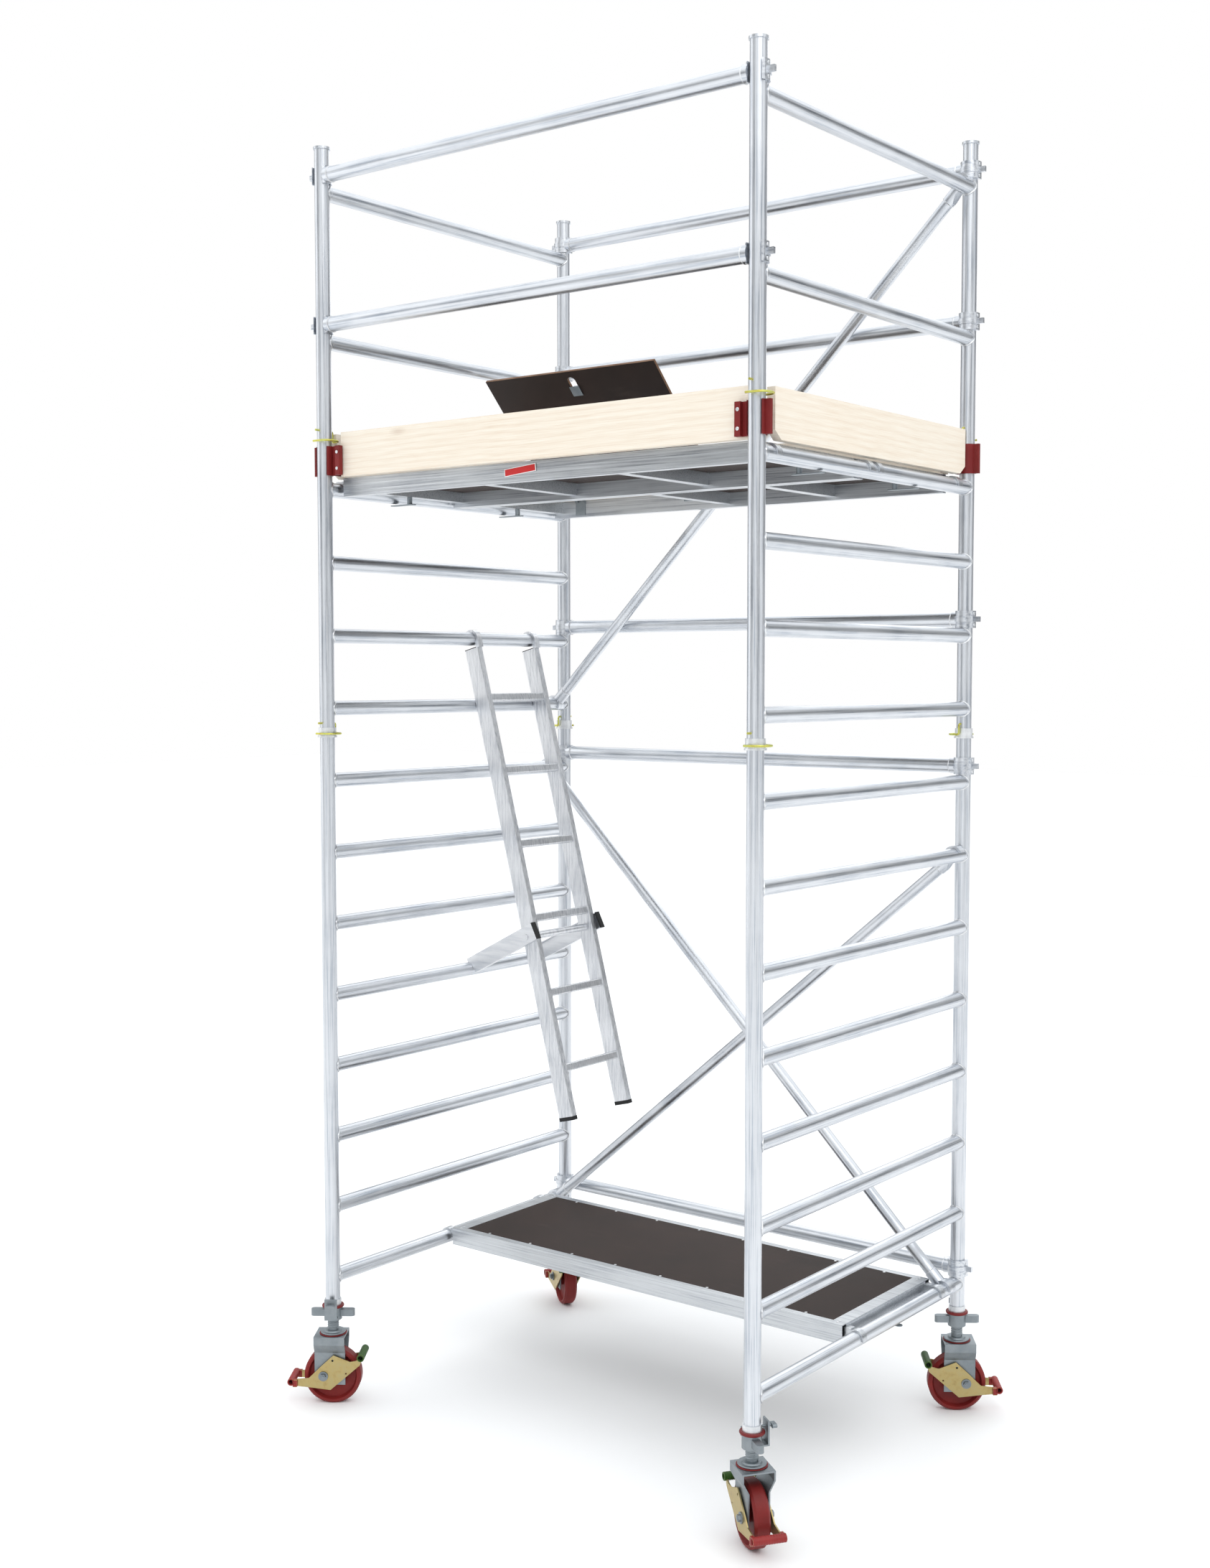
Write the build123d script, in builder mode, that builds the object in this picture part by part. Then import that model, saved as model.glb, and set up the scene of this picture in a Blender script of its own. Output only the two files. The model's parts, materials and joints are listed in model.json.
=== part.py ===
from build123d import *
import os
from math import atan2, cos, degrees, radians, sin

os.makedirs("parts", exist_ok=True)

# ---------------------------------------------------------------- overall
# The origin is on the ground under the middle of the tower. X runs along the tower, Y across it.
post_spacing_long = 1775.0
post_spacing_wide = 1287.0
tube_diameter = 50.8
tube_wall = 3.0
rung_diameter = 50.0
rung_pitch = 250.0
lowest_rung_height = 450.0
clearance = 0.4

half_long = post_spacing_long / 2
half_wide = post_spacing_wide / 2
tube_radius = tube_diameter / 2
bore_radius = tube_radius - tube_wall
rung_radius = rung_diameter / 2

# ---------------------------------------------------------------- frames
post_foot_drop = 100.0
lower_rungs = range(0, 8)
middle_rungs = range(8, 12)
guard_rungs = (13, 15)
joint_drop = 100.0
top_rise = 150.0
lip_overhang = 3.6
lip_height = 8.0

# ---------------------------------------------------------------- tube joints and lock clips
spigot_gap = 0.1
spigot_wall = 3.0
spigot_half_length = 110.0
collar_wall = 4.6
collar_height = 34.0
collar_flange_overhang = 7.6
collar_flange_height = 6.0
clip_wire_radius = 3.5
clip_hole_gap = 0.1
clip_pin_rise = 49.0
clip_leg_drop = 36.0
clip_reach_beyond = 11.6
clip_bulge_beyond = 21.6
clip_tail = 16.0
clip_stub_beyond = 15.6
clip_bend = 8.0
clip_loop_ease = 4.0

# ---------------------------------------------------------------- horizontal rails
rail_radius = 25.0
rail_wall = 2.5
rail_rise = 55.0
claw_wall = 7.7
claw_height = 58.0
claw_arm = 14.0
latch_height = 18.0
latch_thickness = 3.5
latch_tongue = 22.0
rail_socket_length = 12.0
rail_socket_wall = 2.0
front_rail_rungs = (13, 15)
back_rail_rungs = (13, 15)
brace_rungs = (0, 7, 9)

# ---------------------------------------------------------------- diagonal braces
diagonal_radius = 20.0
diagonal_wall = 2.5
saddle_width = 39.0
saddle_wall = 8.6
saddle_sweep = 215.0
socket_wall = 2.5
socket_end = 74.0
saddle_side_gap = 1.0
diagonal_gap = 2.0

# ---------------------------------------------------------------- decks
deck_gap = 4.0
deck_front_inset = 49.5
deck_end_inset = 39.5
deck_rise = 40.0
deck_rung = 11
lower_deck_inset = 133.0
beam_width = 28.0
beam_height = 62.0
beam_wall = 2.5
end_beam_width = 49.0
end_beam_height = 45.0
cross_beam_size = 40.0
cross_beam_place = 280.0
back_cross_beam_place = 410.0
hook_width = 26.0
hook_inset = 26.0
hook_thickness = 5.6
panel_thickness = 10.0
hatch_trimmer_place = -37.0

# ---------------------------------------------------------------- hatch
hatch_width = 783.0
hatch_end_gap = 8.0
hatch_reach = 575.0
hatch_open_angle = 46.0
hatch_knuckle_radius = 6.0
hatch_pin_radius = 3.0
hatch_pin_gap = 0.05
hatch_pin_inset = 9.0
hatch_edge_gap = 8.0
hatch_lift = 0.3
hinge_distances = (123.0, 642.0)
hinge_plate_heights = (56.0, 30.0)
hinge_leaf_width = 46.0
hinge_knuckle_length = 14.0
hinge_middle_length = 16.0
hinge_strap_length = 64.0
hinge_metal = 3.0
slot_width = 34.0
slot_length = 74.0
slot_from_edge = 62.0
latch_plate_width = 44.0
latch_plate_length = 40.0
latch_plate_metal = 4.0
latch_finger_metal = 4.0

# ---------------------------------------------------------------- wind locks
wind_lock_inset = 33.0
wind_lock_post_radius = 9.0
wind_lock_blade_width = 24.0
wind_lock_blade_metal = 3.0
wind_lock_drop = 8.0
wind_lock_reach = 90.0
wind_lock_tail = 26.0

# ---------------------------------------------------------------- toe boards
board_height = 150.0
board_thickness = 28.0
board_lift = 1.0
board_chamfer_long = 34.0
board_chamfer_high = 26.0
front_board_offset = 17.0
back_board_offset = 75.5
long_board_start = 62.0
long_board_end = 32.0
end_board_start = 73.0
end_board_gap = 1.5
bracket_height = 99.0
bracket_lift = 5.0
bracket_wall = 4.0
front_arm_distance = 8.0
front_plate_distance = 47.0
back_arm_distance = 71.0
back_plate_distance = 105.0
front_plate_reach = 73.0
back_plate_reach = 43.0

# ---------------------------------------------------------------- ladder
ladder_rung = 9
strut_rung = 4
ladder_lean = 14.9
ladder_inset = 376.5
stile_spacing = 330.0
stile_depth = 65.0
stile_thickness = 27.0
stile_wall = 2.0
stile_offset = -5.5
stile_top = 38.0
stile_end = 1816.0
ladder_rung_first = 230.0
ladder_rung_pitch = 282.0
ladder_rung_count = 6
ladder_rung_depth = 30.0
ladder_rung_height = 28.0
cap_thickness = 7.0
ladder_hook_width = 25.0
ladder_hook_thickness = 9.0
strut_pivot_distance = 1140.0
strut_arm_height = 62.0
strut_arm_width = 20.0
strut_arm_wall = 3.0
strut_gap = 0.5
strut_notch_slack = 1.6
strut_overhang = 46.0
strut_tail = -10.0
strut_bar_radius = 14.0
strut_bar_wall = 2.0
strut_bar_gap = 0.1
strut_rivet_radius = 12.0
strut_rivet_height = 4.0

# ---------------------------------------------------------------- casters
wheel_radius = 100.0
wheel_width = 50.0
wheel_dish_radius = 80.0
wheel_hub_radius = 24.0
wheel_web_width = 22.0
wheel_edge_radius = 7.0
axle_radius = 6.0
axle_gap = 0.05
wheel_top_gap = 41.0
fork_length = 108.0
fork_back = -47.0
king_pin_radius = 8.0
king_head_radius = 15.0
king_head_height = 4.0
fork_metal = 5.0
wheel_side_gap = 5.0
fork_shoulder = 17.0
fork_leg_bottom = 71.0
fork_knee_drop = 61.0
fork_shoulder_drop = 29.0
spindle_guide_wall = 5.3
spindle_gap = 0.1
spindle_top = 820.0
seal_radius = 48.0
seal_height = 3.0
flange_radius = 44.0
flange_height = 5.0
boss_radius = 30.0
boss_height = 5.0
foot_sleeve_bottom = 341.0
foot_sleeve_top = 370.0
foot_sleeve_wall = 3.6
ring_wall = 9.5
ring_height = 9.0
nut_bottom = 298.0
nut_wall = 11.0
nut_arm_width = 24.0
nut_arm_height = 24.0
nut_arm_bottom = 309.0
nut_arm_reach = 77.0
nut_clip_width = 44.0
nut_clip_metal = 5.0
nut_clip_gap = 13.0
nut_clip_top = 379.0
nut_clip_bottom = 305.0
wing_screw_radius = 4.0
wing_screw_height = 359.0
wing_screw_outside = 12.0
wing_depth = 14.0
wing_span = 34.0
wing_height = 12.0
brake_plate_metal = 4.0
brake_side_gap = 4.5
brake_pivot_forward = 29.0
brake_pivot_height = 104.0
stud_radius = 6.0
stud_gap = 0.1
stud_washer_radius = 17.0
stud_washer_metal = 3.0
stud_nut_width = 19.0
stud_nut_height = 9.0
grip_radius = 12.5
grip_bore = 9.0
red_grip_forward = 142.0
red_grip_height = 84.0
green_grip_forward = -104.0
green_grip_height = 172.0

# ---------------------------------------------------------------- sizes worked out
lip_radius = tube_radius + lip_overhang
collar_radius = tube_radius + collar_wall
collar_flange_radius = tube_radius + collar_flange_overhang
clip_reach = tube_radius + clip_reach_beyond
clip_bulge = tube_radius + clip_bulge_beyond
clip_stub = tube_radius + clip_stub_beyond
clip_loop_bend = clip_reach - clip_loop_ease
end_board_finish = clip_reach + clip_wire_radius + end_board_gap
claw_radius = tube_radius + clearance + claw_wall
saddle_radius = rung_radius + clearance + saddle_wall
socket_radius = diagonal_radius + socket_wall
rail_socket_radius = rail_radius + rail_socket_wall
outer_diagonal_y = half_wide - claw_radius - saddle_side_gap - saddle_width / 2
inner_diagonal_y = outer_diagonal_y - saddle_width - diagonal_gap
deck_front_edge = deck_front_inset - half_wide
deck_width = (post_spacing_wide - deck_front_inset - back_board_offset - deck_gap) / 2
deck_half_length = half_long - deck_end_inset
lower_deck_centre = half_wide - lower_deck_inset - deck_width / 2
ladder_centre = half_wide - ladder_inset
hatch_left = hatch_end_gap - deck_half_length
hinge_places = [hatch_left + distance for distance in hinge_distances]
foot_sleeve_radius = tube_radius + foot_sleeve_wall
ring_radius = foot_sleeve_radius + ring_wall
spindle_radius = tube_radius - spindle_guide_wall - spindle_gap
nut_radius = spindle_radius + nut_wall
nut_clip_place = foot_sleeve_radius + nut_clip_gap
fork_lower_half = wheel_width / 2 + wheel_side_gap + fork_metal
fork_upper_half = fork_lower_half + fork_shoulder
brake_plate_inner = fork_lower_half + brake_side_gap
fork_top = 2 * wheel_radius + wheel_top_gap + fork_metal
fork_knee_low = fork_top - fork_knee_drop
fork_knee_high = fork_top - fork_shoulder_drop

joint_lower = lowest_rung_height + middle_rungs[0] * rung_pitch - joint_drop
joint_upper = lowest_rung_height + 12 * rung_pitch - joint_drop
post_bottom = lowest_rung_height - post_foot_drop
tower_top = lowest_rung_height + guard_rungs[-1] * rung_pitch + top_rise
diagonal_angle = degrees(atan2(post_spacing_wide, post_spacing_long))

corners = {
    "front_left": (-half_long, -half_wide, 180.0 + diagonal_angle),
    "front_right": (half_long, -half_wide, -diagonal_angle),
    "back_left": (-half_long, half_wide, 180.0 - diagonal_angle),
    "back_right": (half_long, half_wide, diagonal_angle),
}


def rung_height(step):
    return lowest_rung_height + step * rung_pitch


def write_node(name, solids):
    """Writes one node, a single solid or a group of separate ones, as parts/NAME.step."""
    if len(solids) == 1:
        node = solids[0]
        node.label = name
    else:
        node = Compound(label=name, children=[single for group in solids for single in group.solids()])
    export_step(node, "parts/" + name + ".step")


# ---------------------------------------------------------------- frames
def make_post(x, y, bottom, top, pin_heights, rolled_top):
    """A round upright, drilled across for the lock pins, with a rolled lip where it is a top end."""
    with BuildPart() as post:
        with BuildSketch(Plane.XY.offset(bottom)):
            with Locations((x, y)):
                Circle(tube_radius)
                Circle(bore_radius, mode=Mode.SUBTRACT)
        extrude(amount=top - bottom)
        if rolled_top:
            with BuildSketch(Plane.XY.offset(top - lip_height)):
                with Locations((x, y)):
                    Circle(lip_radius)
                    Circle(bore_radius, mode=Mode.SUBTRACT)
            extrude(amount=lip_height)
        for height in pin_heights:
            with BuildSketch(Plane.XZ.offset(-y - tube_diameter)):
                with Locations((x, height)):
                    Circle(clip_wire_radius + clip_hole_gap)
            extrude(amount=2 * tube_diameter, mode=Mode.SUBTRACT)
    return post.part


def make_rung(x, height):
    """A rung between two posts, its ends coped to the posts' outside."""
    with BuildPart() as rung:
        with BuildSketch(Plane.XZ.offset(-half_wide)):
            with Locations((x, height)):
                Circle(rung_radius)
                Circle(rung_radius - tube_wall, mode=Mode.SUBTRACT)
        extrude(amount=post_spacing_wide)
        with Locations((x, -half_wide, height), (x, half_wide, height)):
            Cylinder(tube_radius, 2 * tube_diameter, mode=Mode.SUBTRACT)
    return rung.part


def make_frame(name, x, bottom, top, steps, pin_heights, rolled_top):
    """An end frame: two posts and the rungs welded between them."""
    posts = [make_post(x, y, bottom, top, pin_heights, rolled_top) for y in (-half_wide, half_wide)]
    rungs = [make_rung(x, rung_height(step)) for step in steps]
    write_node(name, posts + rungs)


lower_pin = joint_lower + clip_pin_rise
upper_pin = joint_upper + clip_pin_rise
for side, side_x in (("left", -half_long), ("right", half_long)):
    make_frame("lower_frame_" + side, side_x, post_bottom, joint_lower, lower_rungs, (), False)
    make_frame("middle_frame_" + side, side_x, joint_lower, joint_upper, middle_rungs, (lower_pin,), False)
    make_frame("guard_frame_" + side, side_x, joint_upper, tower_top, guard_rungs, (upper_pin,), True)


# ---------------------------------------------------------------- spigots, collars, rings
def make_ring(x, y, bottom, height, outer, inner):
    """A plain round sleeve standing on the height given."""
    with BuildPart() as ring:
        with BuildSketch(Plane.XY.offset(bottom)):
            with Locations((x, y)):
                Circle(outer)
                Circle(inner, mode=Mode.SUBTRACT)
        extrude(amount=height)
    return ring.part


def make_spigot(x, y, joint, pin):
    """The inner sleeve that joins two posts end to end, drilled for the lock pin."""
    outer = bore_radius - spigot_gap
    with BuildPart() as spigot:
        add(make_ring(x, y, joint - spigot_half_length, 2 * spigot_half_length, outer, outer - spigot_wall))
        with BuildSketch(Plane.XZ.offset(-y - tube_diameter)):
            with Locations((x, pin)):
                Circle(clip_wire_radius + clip_hole_gap)
        extrude(amount=2 * tube_diameter, mode=Mode.SUBTRACT)
    return spigot.part


def make_collar(x, y, bottom):
    """The collar with a flanged foot at the bottom end of a middle frame post."""
    with BuildPart() as collar:
        add(make_ring(x, y, bottom, collar_height, collar_radius, tube_radius))
        add(make_ring(x, y, bottom, collar_flange_height, collar_flange_radius, tube_radius))
    return collar.part


def make_foot_ring(x, y):
    """The rounded ring round the foot sleeve."""
    with BuildPart() as ring:
        add(make_ring(x, y, foot_sleeve_bottom, ring_height, ring_radius, foot_sleeve_radius))
        outer_face = ring.faces().filter_by(GeomType.CYLINDER).sort_by(lambda face: face.radius)[-1]
        fillet(outer_face.edges().filter_by(GeomType.CIRCLE), ring_height * 0.4)
    return ring.part


spigots = []
collars = []
foot_rings = []
for corner_x, corner_y, _ in corners.values():
    spigots.append(make_spigot(corner_x, corner_y, joint_lower, lower_pin))
    spigots.append(make_spigot(corner_x, corner_y, joint_upper, upper_pin))
    collars.append(make_collar(corner_x, corner_y, joint_lower))
    sleeve_height = foot_sleeve_top - foot_sleeve_bottom
    collars.append(
        make_ring(corner_x, corner_y, foot_sleeve_bottom, sleeve_height, foot_sleeve_radius, tube_radius)
    )
    guide_height = post_bottom - foot_sleeve_bottom
    guide_bore = spindle_radius + spindle_gap
    collars.append(
        make_ring(corner_x, corner_y, foot_sleeve_bottom, guide_height, tube_radius, guide_bore)
    )
    foot_rings.append(make_foot_ring(corner_x, corner_y))
write_node("joint_spigots", spigots)
write_node("post_collars", collars)
write_node("foot_rings", foot_rings)


# ---------------------------------------------------------------- lock clips
def make_lock_clip(x, y, pin):
    """A bent wire clip: a pin through the post, a leg down, and a loop round the post."""
    turn = 0.0 if y < 0 else 180.0
    place = Plane(origin=(x, y, pin)).rotated((0, 0, turn))
    route = (
        (0, -clip_stub, 0),
        (0, clip_reach, 0),
        (0, clip_reach, -clip_leg_drop),
        (clip_bulge, clip_reach, -clip_leg_drop),
        (clip_bulge, -clip_reach, -clip_leg_drop),
        (-clip_tail, -clip_reach, -clip_leg_drop),
    )
    bends = (clip_bend, clip_bend, clip_loop_bend, clip_loop_bend)
    points = [place.from_local_coords(Vector(*point)) for point in route]
    stretches = []
    for run in FilletPolyline(*points, radius=bends, mode=Mode.PRIVATE).edges():
        with BuildPart() as stretch:
            with BuildSketch(Plane(origin=run @ 0, z_dir=run % 0)):
                Circle(clip_wire_radius)
            sweep(path=run)
        stretches.append(stretch.part)
    return stretches


for corner, (corner_x, corner_y, _) in corners.items():
    write_node("lock_clip_lower_" + corner, make_lock_clip(corner_x, corner_y, lower_pin))
    write_node("lock_clip_upper_" + corner, make_lock_clip(corner_x, corner_y, upper_pin))


# ---------------------------------------------------------------- horizontal rails
def make_claw(x, y, height):
    """A cast claw that takes the post from inside and opens outwards, with its latch strip."""
    inward = -1 if x > 0 else 1
    outward = -1 if y < 0 else 1
    grip = tube_radius + clearance
    band = claw_radius + latch_thickness
    with BuildPart() as claw:
        with BuildSketch(Plane.XY.offset(height - claw_height / 2)):
            with Locations((x, y)):
                Circle(claw_radius)
            with Locations((x, y + outward * claw_arm / 2)):
                Rectangle(2 * claw_radius, claw_arm)
        extrude(amount=claw_height)
        with BuildSketch(Plane.XY.offset(height - latch_height / 2)):
            with Locations((x, y)):
                Circle(band)
            with Locations((x, y + outward * (band / 2 + 1))):
                Rectangle(2 * band, band + 2, mode=Mode.SUBTRACT)
            with Locations((x - inward * (claw_radius + latch_tongue / 2), y)):
                Rectangle(latch_tongue, 3 * latch_thickness)
        extrude(amount=latch_height)
        with BuildSketch(Plane.YZ.offset(x)):
            with Locations((y, height)):
                Circle(rail_socket_radius)
        extrude(amount=inward * (claw_radius + rail_socket_length))
        with BuildSketch(Plane.XY.offset(height - claw_height)):
            with Locations((x, y)):
                Circle(grip)
            with Locations((x, y + outward * claw_radius)):
                Rectangle(2 * grip, 2 * claw_radius)
        extrude(amount=2 * claw_height, mode=Mode.SUBTRACT)
    return claw.part


def make_rail(y, step):
    """A horizontal rail: a tube with a claw at each end, resting just above a rung."""
    height = rung_height(step) + rail_rise
    tube_end = half_long - claw_radius - rail_socket_length
    with BuildPart() as tube:
        with BuildSketch(Plane.YZ.offset(-tube_end)):
            with Locations((y, height)):
                Circle(rail_radius)
                Circle(rail_radius - rail_wall, mode=Mode.SUBTRACT)
        extrude(amount=2 * tube_end)
    return [tube.part, make_claw(-half_long, y, height), make_claw(half_long, y, height)]


def make_rail_group(name, y, steps):
    write_node(name, [piece for step in steps for piece in make_rail(y, step)])


make_rail_group("front_guard_rails", -half_wide, front_rail_rungs)
make_rail_group("back_guard_rails", half_wide, back_rail_rungs)
make_rail_group("horizontal_braces", half_wide, brace_rungs)


# ---------------------------------------------------------------- diagonal braces
def make_saddle(y, x, height, direction):
    """A cast saddle that hangs over a rung, open below, with a socket for the brace tube."""
    middle = Vector(x, y, height)
    opening = (Vector(0, 0, -1) - direction * 0.7).normalized()
    across = Plane(origin=(x, y + saddle_width / 2, height), x_dir=opening, z_dir=(0, -1, 0))
    half_opening = radians(180.0 - saddle_sweep / 2)
    reach = 2 * saddle_radius
    corner_x = reach * cos(half_opening)
    corner_y = reach * sin(half_opening)
    with BuildPart() as saddle:
        with BuildSketch(across):
            Circle(saddle_radius)
        extrude(amount=saddle_width)
        with BuildSketch(Plane(origin=middle + direction * rung_radius / 2, z_dir=direction)):
            Circle(socket_radius)
        extrude(amount=socket_end - rung_radius / 2)
        with BuildSketch(across):
            Circle(rung_radius + clearance)
            with BuildLine():
                Polyline(
                    (0, 0),
                    (corner_x, corner_y),
                    (reach, corner_y),
                    (reach, -corner_y),
                    (corner_x, -corner_y),
                    close=True,
                )
            make_face()
        extrude(amount=saddle_width, mode=Mode.SUBTRACT)
        with BuildSketch(Plane(origin=(x, y + socket_radius + 1, height), z_dir=(0, -1, 0))):
            Circle(rung_radius + clearance)
        extrude(amount=2 * socket_radius + 2, mode=Mode.SUBTRACT)
    return saddle.part


def make_diagonal(y, left_step, right_step):
    """A diagonal brace hooked over two rungs, close to the back posts."""
    left = Vector(-half_long, y, rung_height(left_step))
    right = Vector(half_long, y, rung_height(right_step))
    direction = (right - left).normalized()
    start = left + direction * socket_end
    with BuildPart() as tube:
        with BuildSketch(Plane(origin=start, z_dir=direction)):
            Circle(diagonal_radius)
            Circle(diagonal_radius - diagonal_wall, mode=Mode.SUBTRACT)
        extrude(amount=(right - left).length - 2 * socket_end)
    low = make_saddle(y, left.X, left.Z, direction)
    high = make_saddle(y, right.X, right.Z, direction * -1)
    return [tube.part, low, high]


braces = make_diagonal(outer_diagonal_y, 0, 6) + make_diagonal(inner_diagonal_y, 7, 0)
write_node("diagonal_braces", braces + make_diagonal(outer_diagonal_y, 8, 15))


# ---------------------------------------------------------------- decks
def make_bar(low, high, wall):
    """A square-cornered tube along its longest side, from corner to corner, open at its ends."""
    size = [high[i] - low[i] for i in range(3)]
    middle = [(high[i] + low[i]) / 2 for i in range(3)]
    longest = size.index(max(size))
    inside = [size[i] + 2 if i == longest else size[i] - 2 * wall for i in range(3)]
    with BuildPart() as bar:
        with Locations(tuple(middle)):
            Box(*size)
            Box(*inside, mode=Mode.SUBTRACT)
    return bar.part


def make_deck_hook(side, y, step):
    """A flat cast hook from the deck's end over the top of a rung."""
    x = side * half_long
    height = rung_height(step)
    inner = rung_radius + clearance
    outer = inner + hook_thickness
    arm_end = half_long - inner * 0.6
    with BuildPart() as hook:
        with BuildSketch(Plane.XZ.offset(-y - hook_width / 2)):
            with Locations((x, height)):
                Circle(outer)
            with Locations((side * (deck_half_length + arm_end) / 2, height + outer / 2 - 6)):
                Rectangle(arm_end - deck_half_length, outer + 12)
            with Locations((x, height)):
                Circle(inner, mode=Mode.SUBTRACT)
            with Locations((x + side * outer / 2, height - outer)):
                Rectangle(outer * 3, 2 * outer - 8, mode=Mode.SUBTRACT)
        extrude(amount=hook_width)
    return hook.part


def make_deck_frame(name, front, step, cross_places):
    """An aluminium deck frame: two side beams, two end beams, cross beams and four hooks."""
    top = rung_height(step) + deck_rise
    back = front + deck_width
    inner_front = front + beam_width
    inner_back = back - beam_width
    end = deck_half_length
    pieces = [
        make_bar((-end, front, top - beam_height), (end, inner_front, top), beam_wall),
        make_bar((-end, inner_back, top - beam_height), (end, back, top), beam_wall),
    ]
    for side in (-1, 1):
        near = side * end
        far = side * (end - end_beam_width)
        low = (min(near, far), inner_front, top - end_beam_height)
        pieces.append(make_bar(low, (max(near, far), inner_back, top), beam_wall))
        for hook_y in (front + hook_inset, back - hook_inset):
            pieces.append(make_deck_hook(side, hook_y, step))
    for place in cross_places:
        under = top - panel_thickness
        low = (place - cross_beam_size / 2, inner_front, under - cross_beam_size)
        pieces.append(make_bar(low, (place + cross_beam_size / 2, inner_back, under), beam_wall))
    write_node(name, pieces)


def make_panel(front, step, left, right):
    """A plywood deck panel set flush between the beams."""
    top = rung_height(step) + deck_rise
    low_y = front + beam_width
    high_y = front + deck_width - beam_width
    with BuildPart() as panel:
        with Locations(((left + right) / 2, (low_y + high_y) / 2, top - panel_thickness / 2)):
            Box(right - left, high_y - low_y, panel_thickness)
    return panel.part


back_deck_front = deck_front_edge + deck_width + deck_gap
lower_deck_front = lower_deck_centre - deck_width / 2
panel_end = deck_half_length - end_beam_width
make_deck_frame("front_deck_frame", deck_front_edge, deck_rung, (-cross_beam_place, cross_beam_place))
make_deck_frame("back_deck_frame", back_deck_front, deck_rung, (hatch_trimmer_place, back_cross_beam_place))
make_deck_frame("lower_deck_frame", lower_deck_front, 0, (-cross_beam_place, cross_beam_place))
panels = [
    make_panel(deck_front_edge, deck_rung, -panel_end, panel_end),
    make_panel(back_deck_front, deck_rung, hatch_trimmer_place - cross_beam_size / 2, panel_end),
    make_panel(lower_deck_front, 0, -panel_end, panel_end),
]
write_node("deck_panels", panels)


# ---------------------------------------------------------------- wind locks
def make_wind_lock(side, y, step):
    """A turning lock under the end beam whose blade lies under the rung."""
    x = side * (deck_half_length - wind_lock_inset)
    top = rung_height(step) + deck_rise - end_beam_height - clearance
    bottom = rung_height(step) - rung_radius - wind_lock_drop
    blade_top = bottom + wind_lock_blade_metal
    blade_length = wind_lock_reach + wind_lock_tail
    with BuildPart() as post:
        with BuildSketch(Plane.XY.offset(blade_top)):
            with Locations((x, y)):
                Circle(wind_lock_post_radius)
        extrude(amount=top - blade_top)
    with BuildPart() as blade:
        with BuildSketch(Plane.XY.offset(bottom)):
            with Locations((x + side * (blade_length / 2 - wind_lock_tail), y)):
                SlotOverall(blade_length, wind_lock_blade_width)
        extrude(amount=wind_lock_blade_metal)
    return [post.part, blade.part]


deck_fronts = {
    "front_deck": (deck_front_edge, deck_rung),
    "back_deck": (back_deck_front, deck_rung),
    "lower_deck": (lower_deck_front, 0),
}
for deck, (front, step) in deck_fronts.items():
    for side, side_name in ((-1, "left"), (1, "right")):
        lock = make_wind_lock(side, front + deck_width / 2, step)
        write_node(deck + "_wind_lock_" + side_name, lock)


# ---------------------------------------------------------------- hatch
deck_top = rung_height(deck_rung) + deck_rise
beam_inner_face = back_deck_front + deck_width - beam_width
hatch_axis_y = beam_inner_face - hatch_pin_inset
hatch_axis_z = deck_top + hatch_lift + panel_thickness / 2
hatch_axis = Axis((0, hatch_axis_y, hatch_axis_z), (-1, 0, 0))


def make_hinge(x, plate_height):
    """The fixed half of a hatch hinge: a plate on the beam, two knuckles and the pin."""
    reach = hinge_middle_length / 2 + clearance / 2
    with BuildPart() as fixed:
        with Locations((x, beam_inner_face - hinge_metal / 2, deck_top - plate_height / 2)):
            Box(hinge_leaf_width, hinge_metal, plate_height)
        for side in (-1, 1):
            middle = x + side * (reach + hinge_knuckle_length / 2)
            with BuildSketch(Plane.YZ.offset(middle - hinge_knuckle_length / 2)):
                with Locations((hatch_axis_y, hatch_axis_z)):
                    Circle(hatch_knuckle_radius)
                with Locations(((hatch_axis_y + beam_inner_face) / 2, hatch_axis_z - hatch_knuckle_radius)):
                    Rectangle(hatch_pin_inset, 2 * hatch_knuckle_radius)
            extrude(amount=hinge_knuckle_length)
        with BuildSketch(Plane.YZ.offset(x - reach)):
            with Locations((hatch_axis_y, hatch_axis_z)):
                Circle(hatch_pin_radius)
        extrude(amount=2 * reach)
    return fixed.part


write_node("hatch_hinges", [make_hinge(x, height) for x, height in zip(hinge_places, hinge_plate_heights)])


def make_strap(x):
    """The moving half of a hinge: a knuckle round the pin and a strap under the leaf."""
    low = hatch_axis_z - panel_thickness / 2 - hinge_metal
    with BuildPart() as strap:
        with BuildSketch(Plane.YZ.offset(x - hinge_middle_length / 2)):
            with Locations((hatch_axis_y, hatch_axis_z)):
                Circle(hatch_knuckle_radius)
            with Locations((hatch_axis_y - hinge_strap_length / 2, low + hinge_metal / 2)):
                Rectangle(hinge_strap_length, hinge_metal)
            with Locations((hatch_axis_y, hatch_axis_z)):
                Circle(hatch_pin_radius + hatch_pin_gap, mode=Mode.SUBTRACT)
        extrude(amount=hinge_middle_length)
    return strap.part.rotate(hatch_axis, hatch_open_angle)


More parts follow.
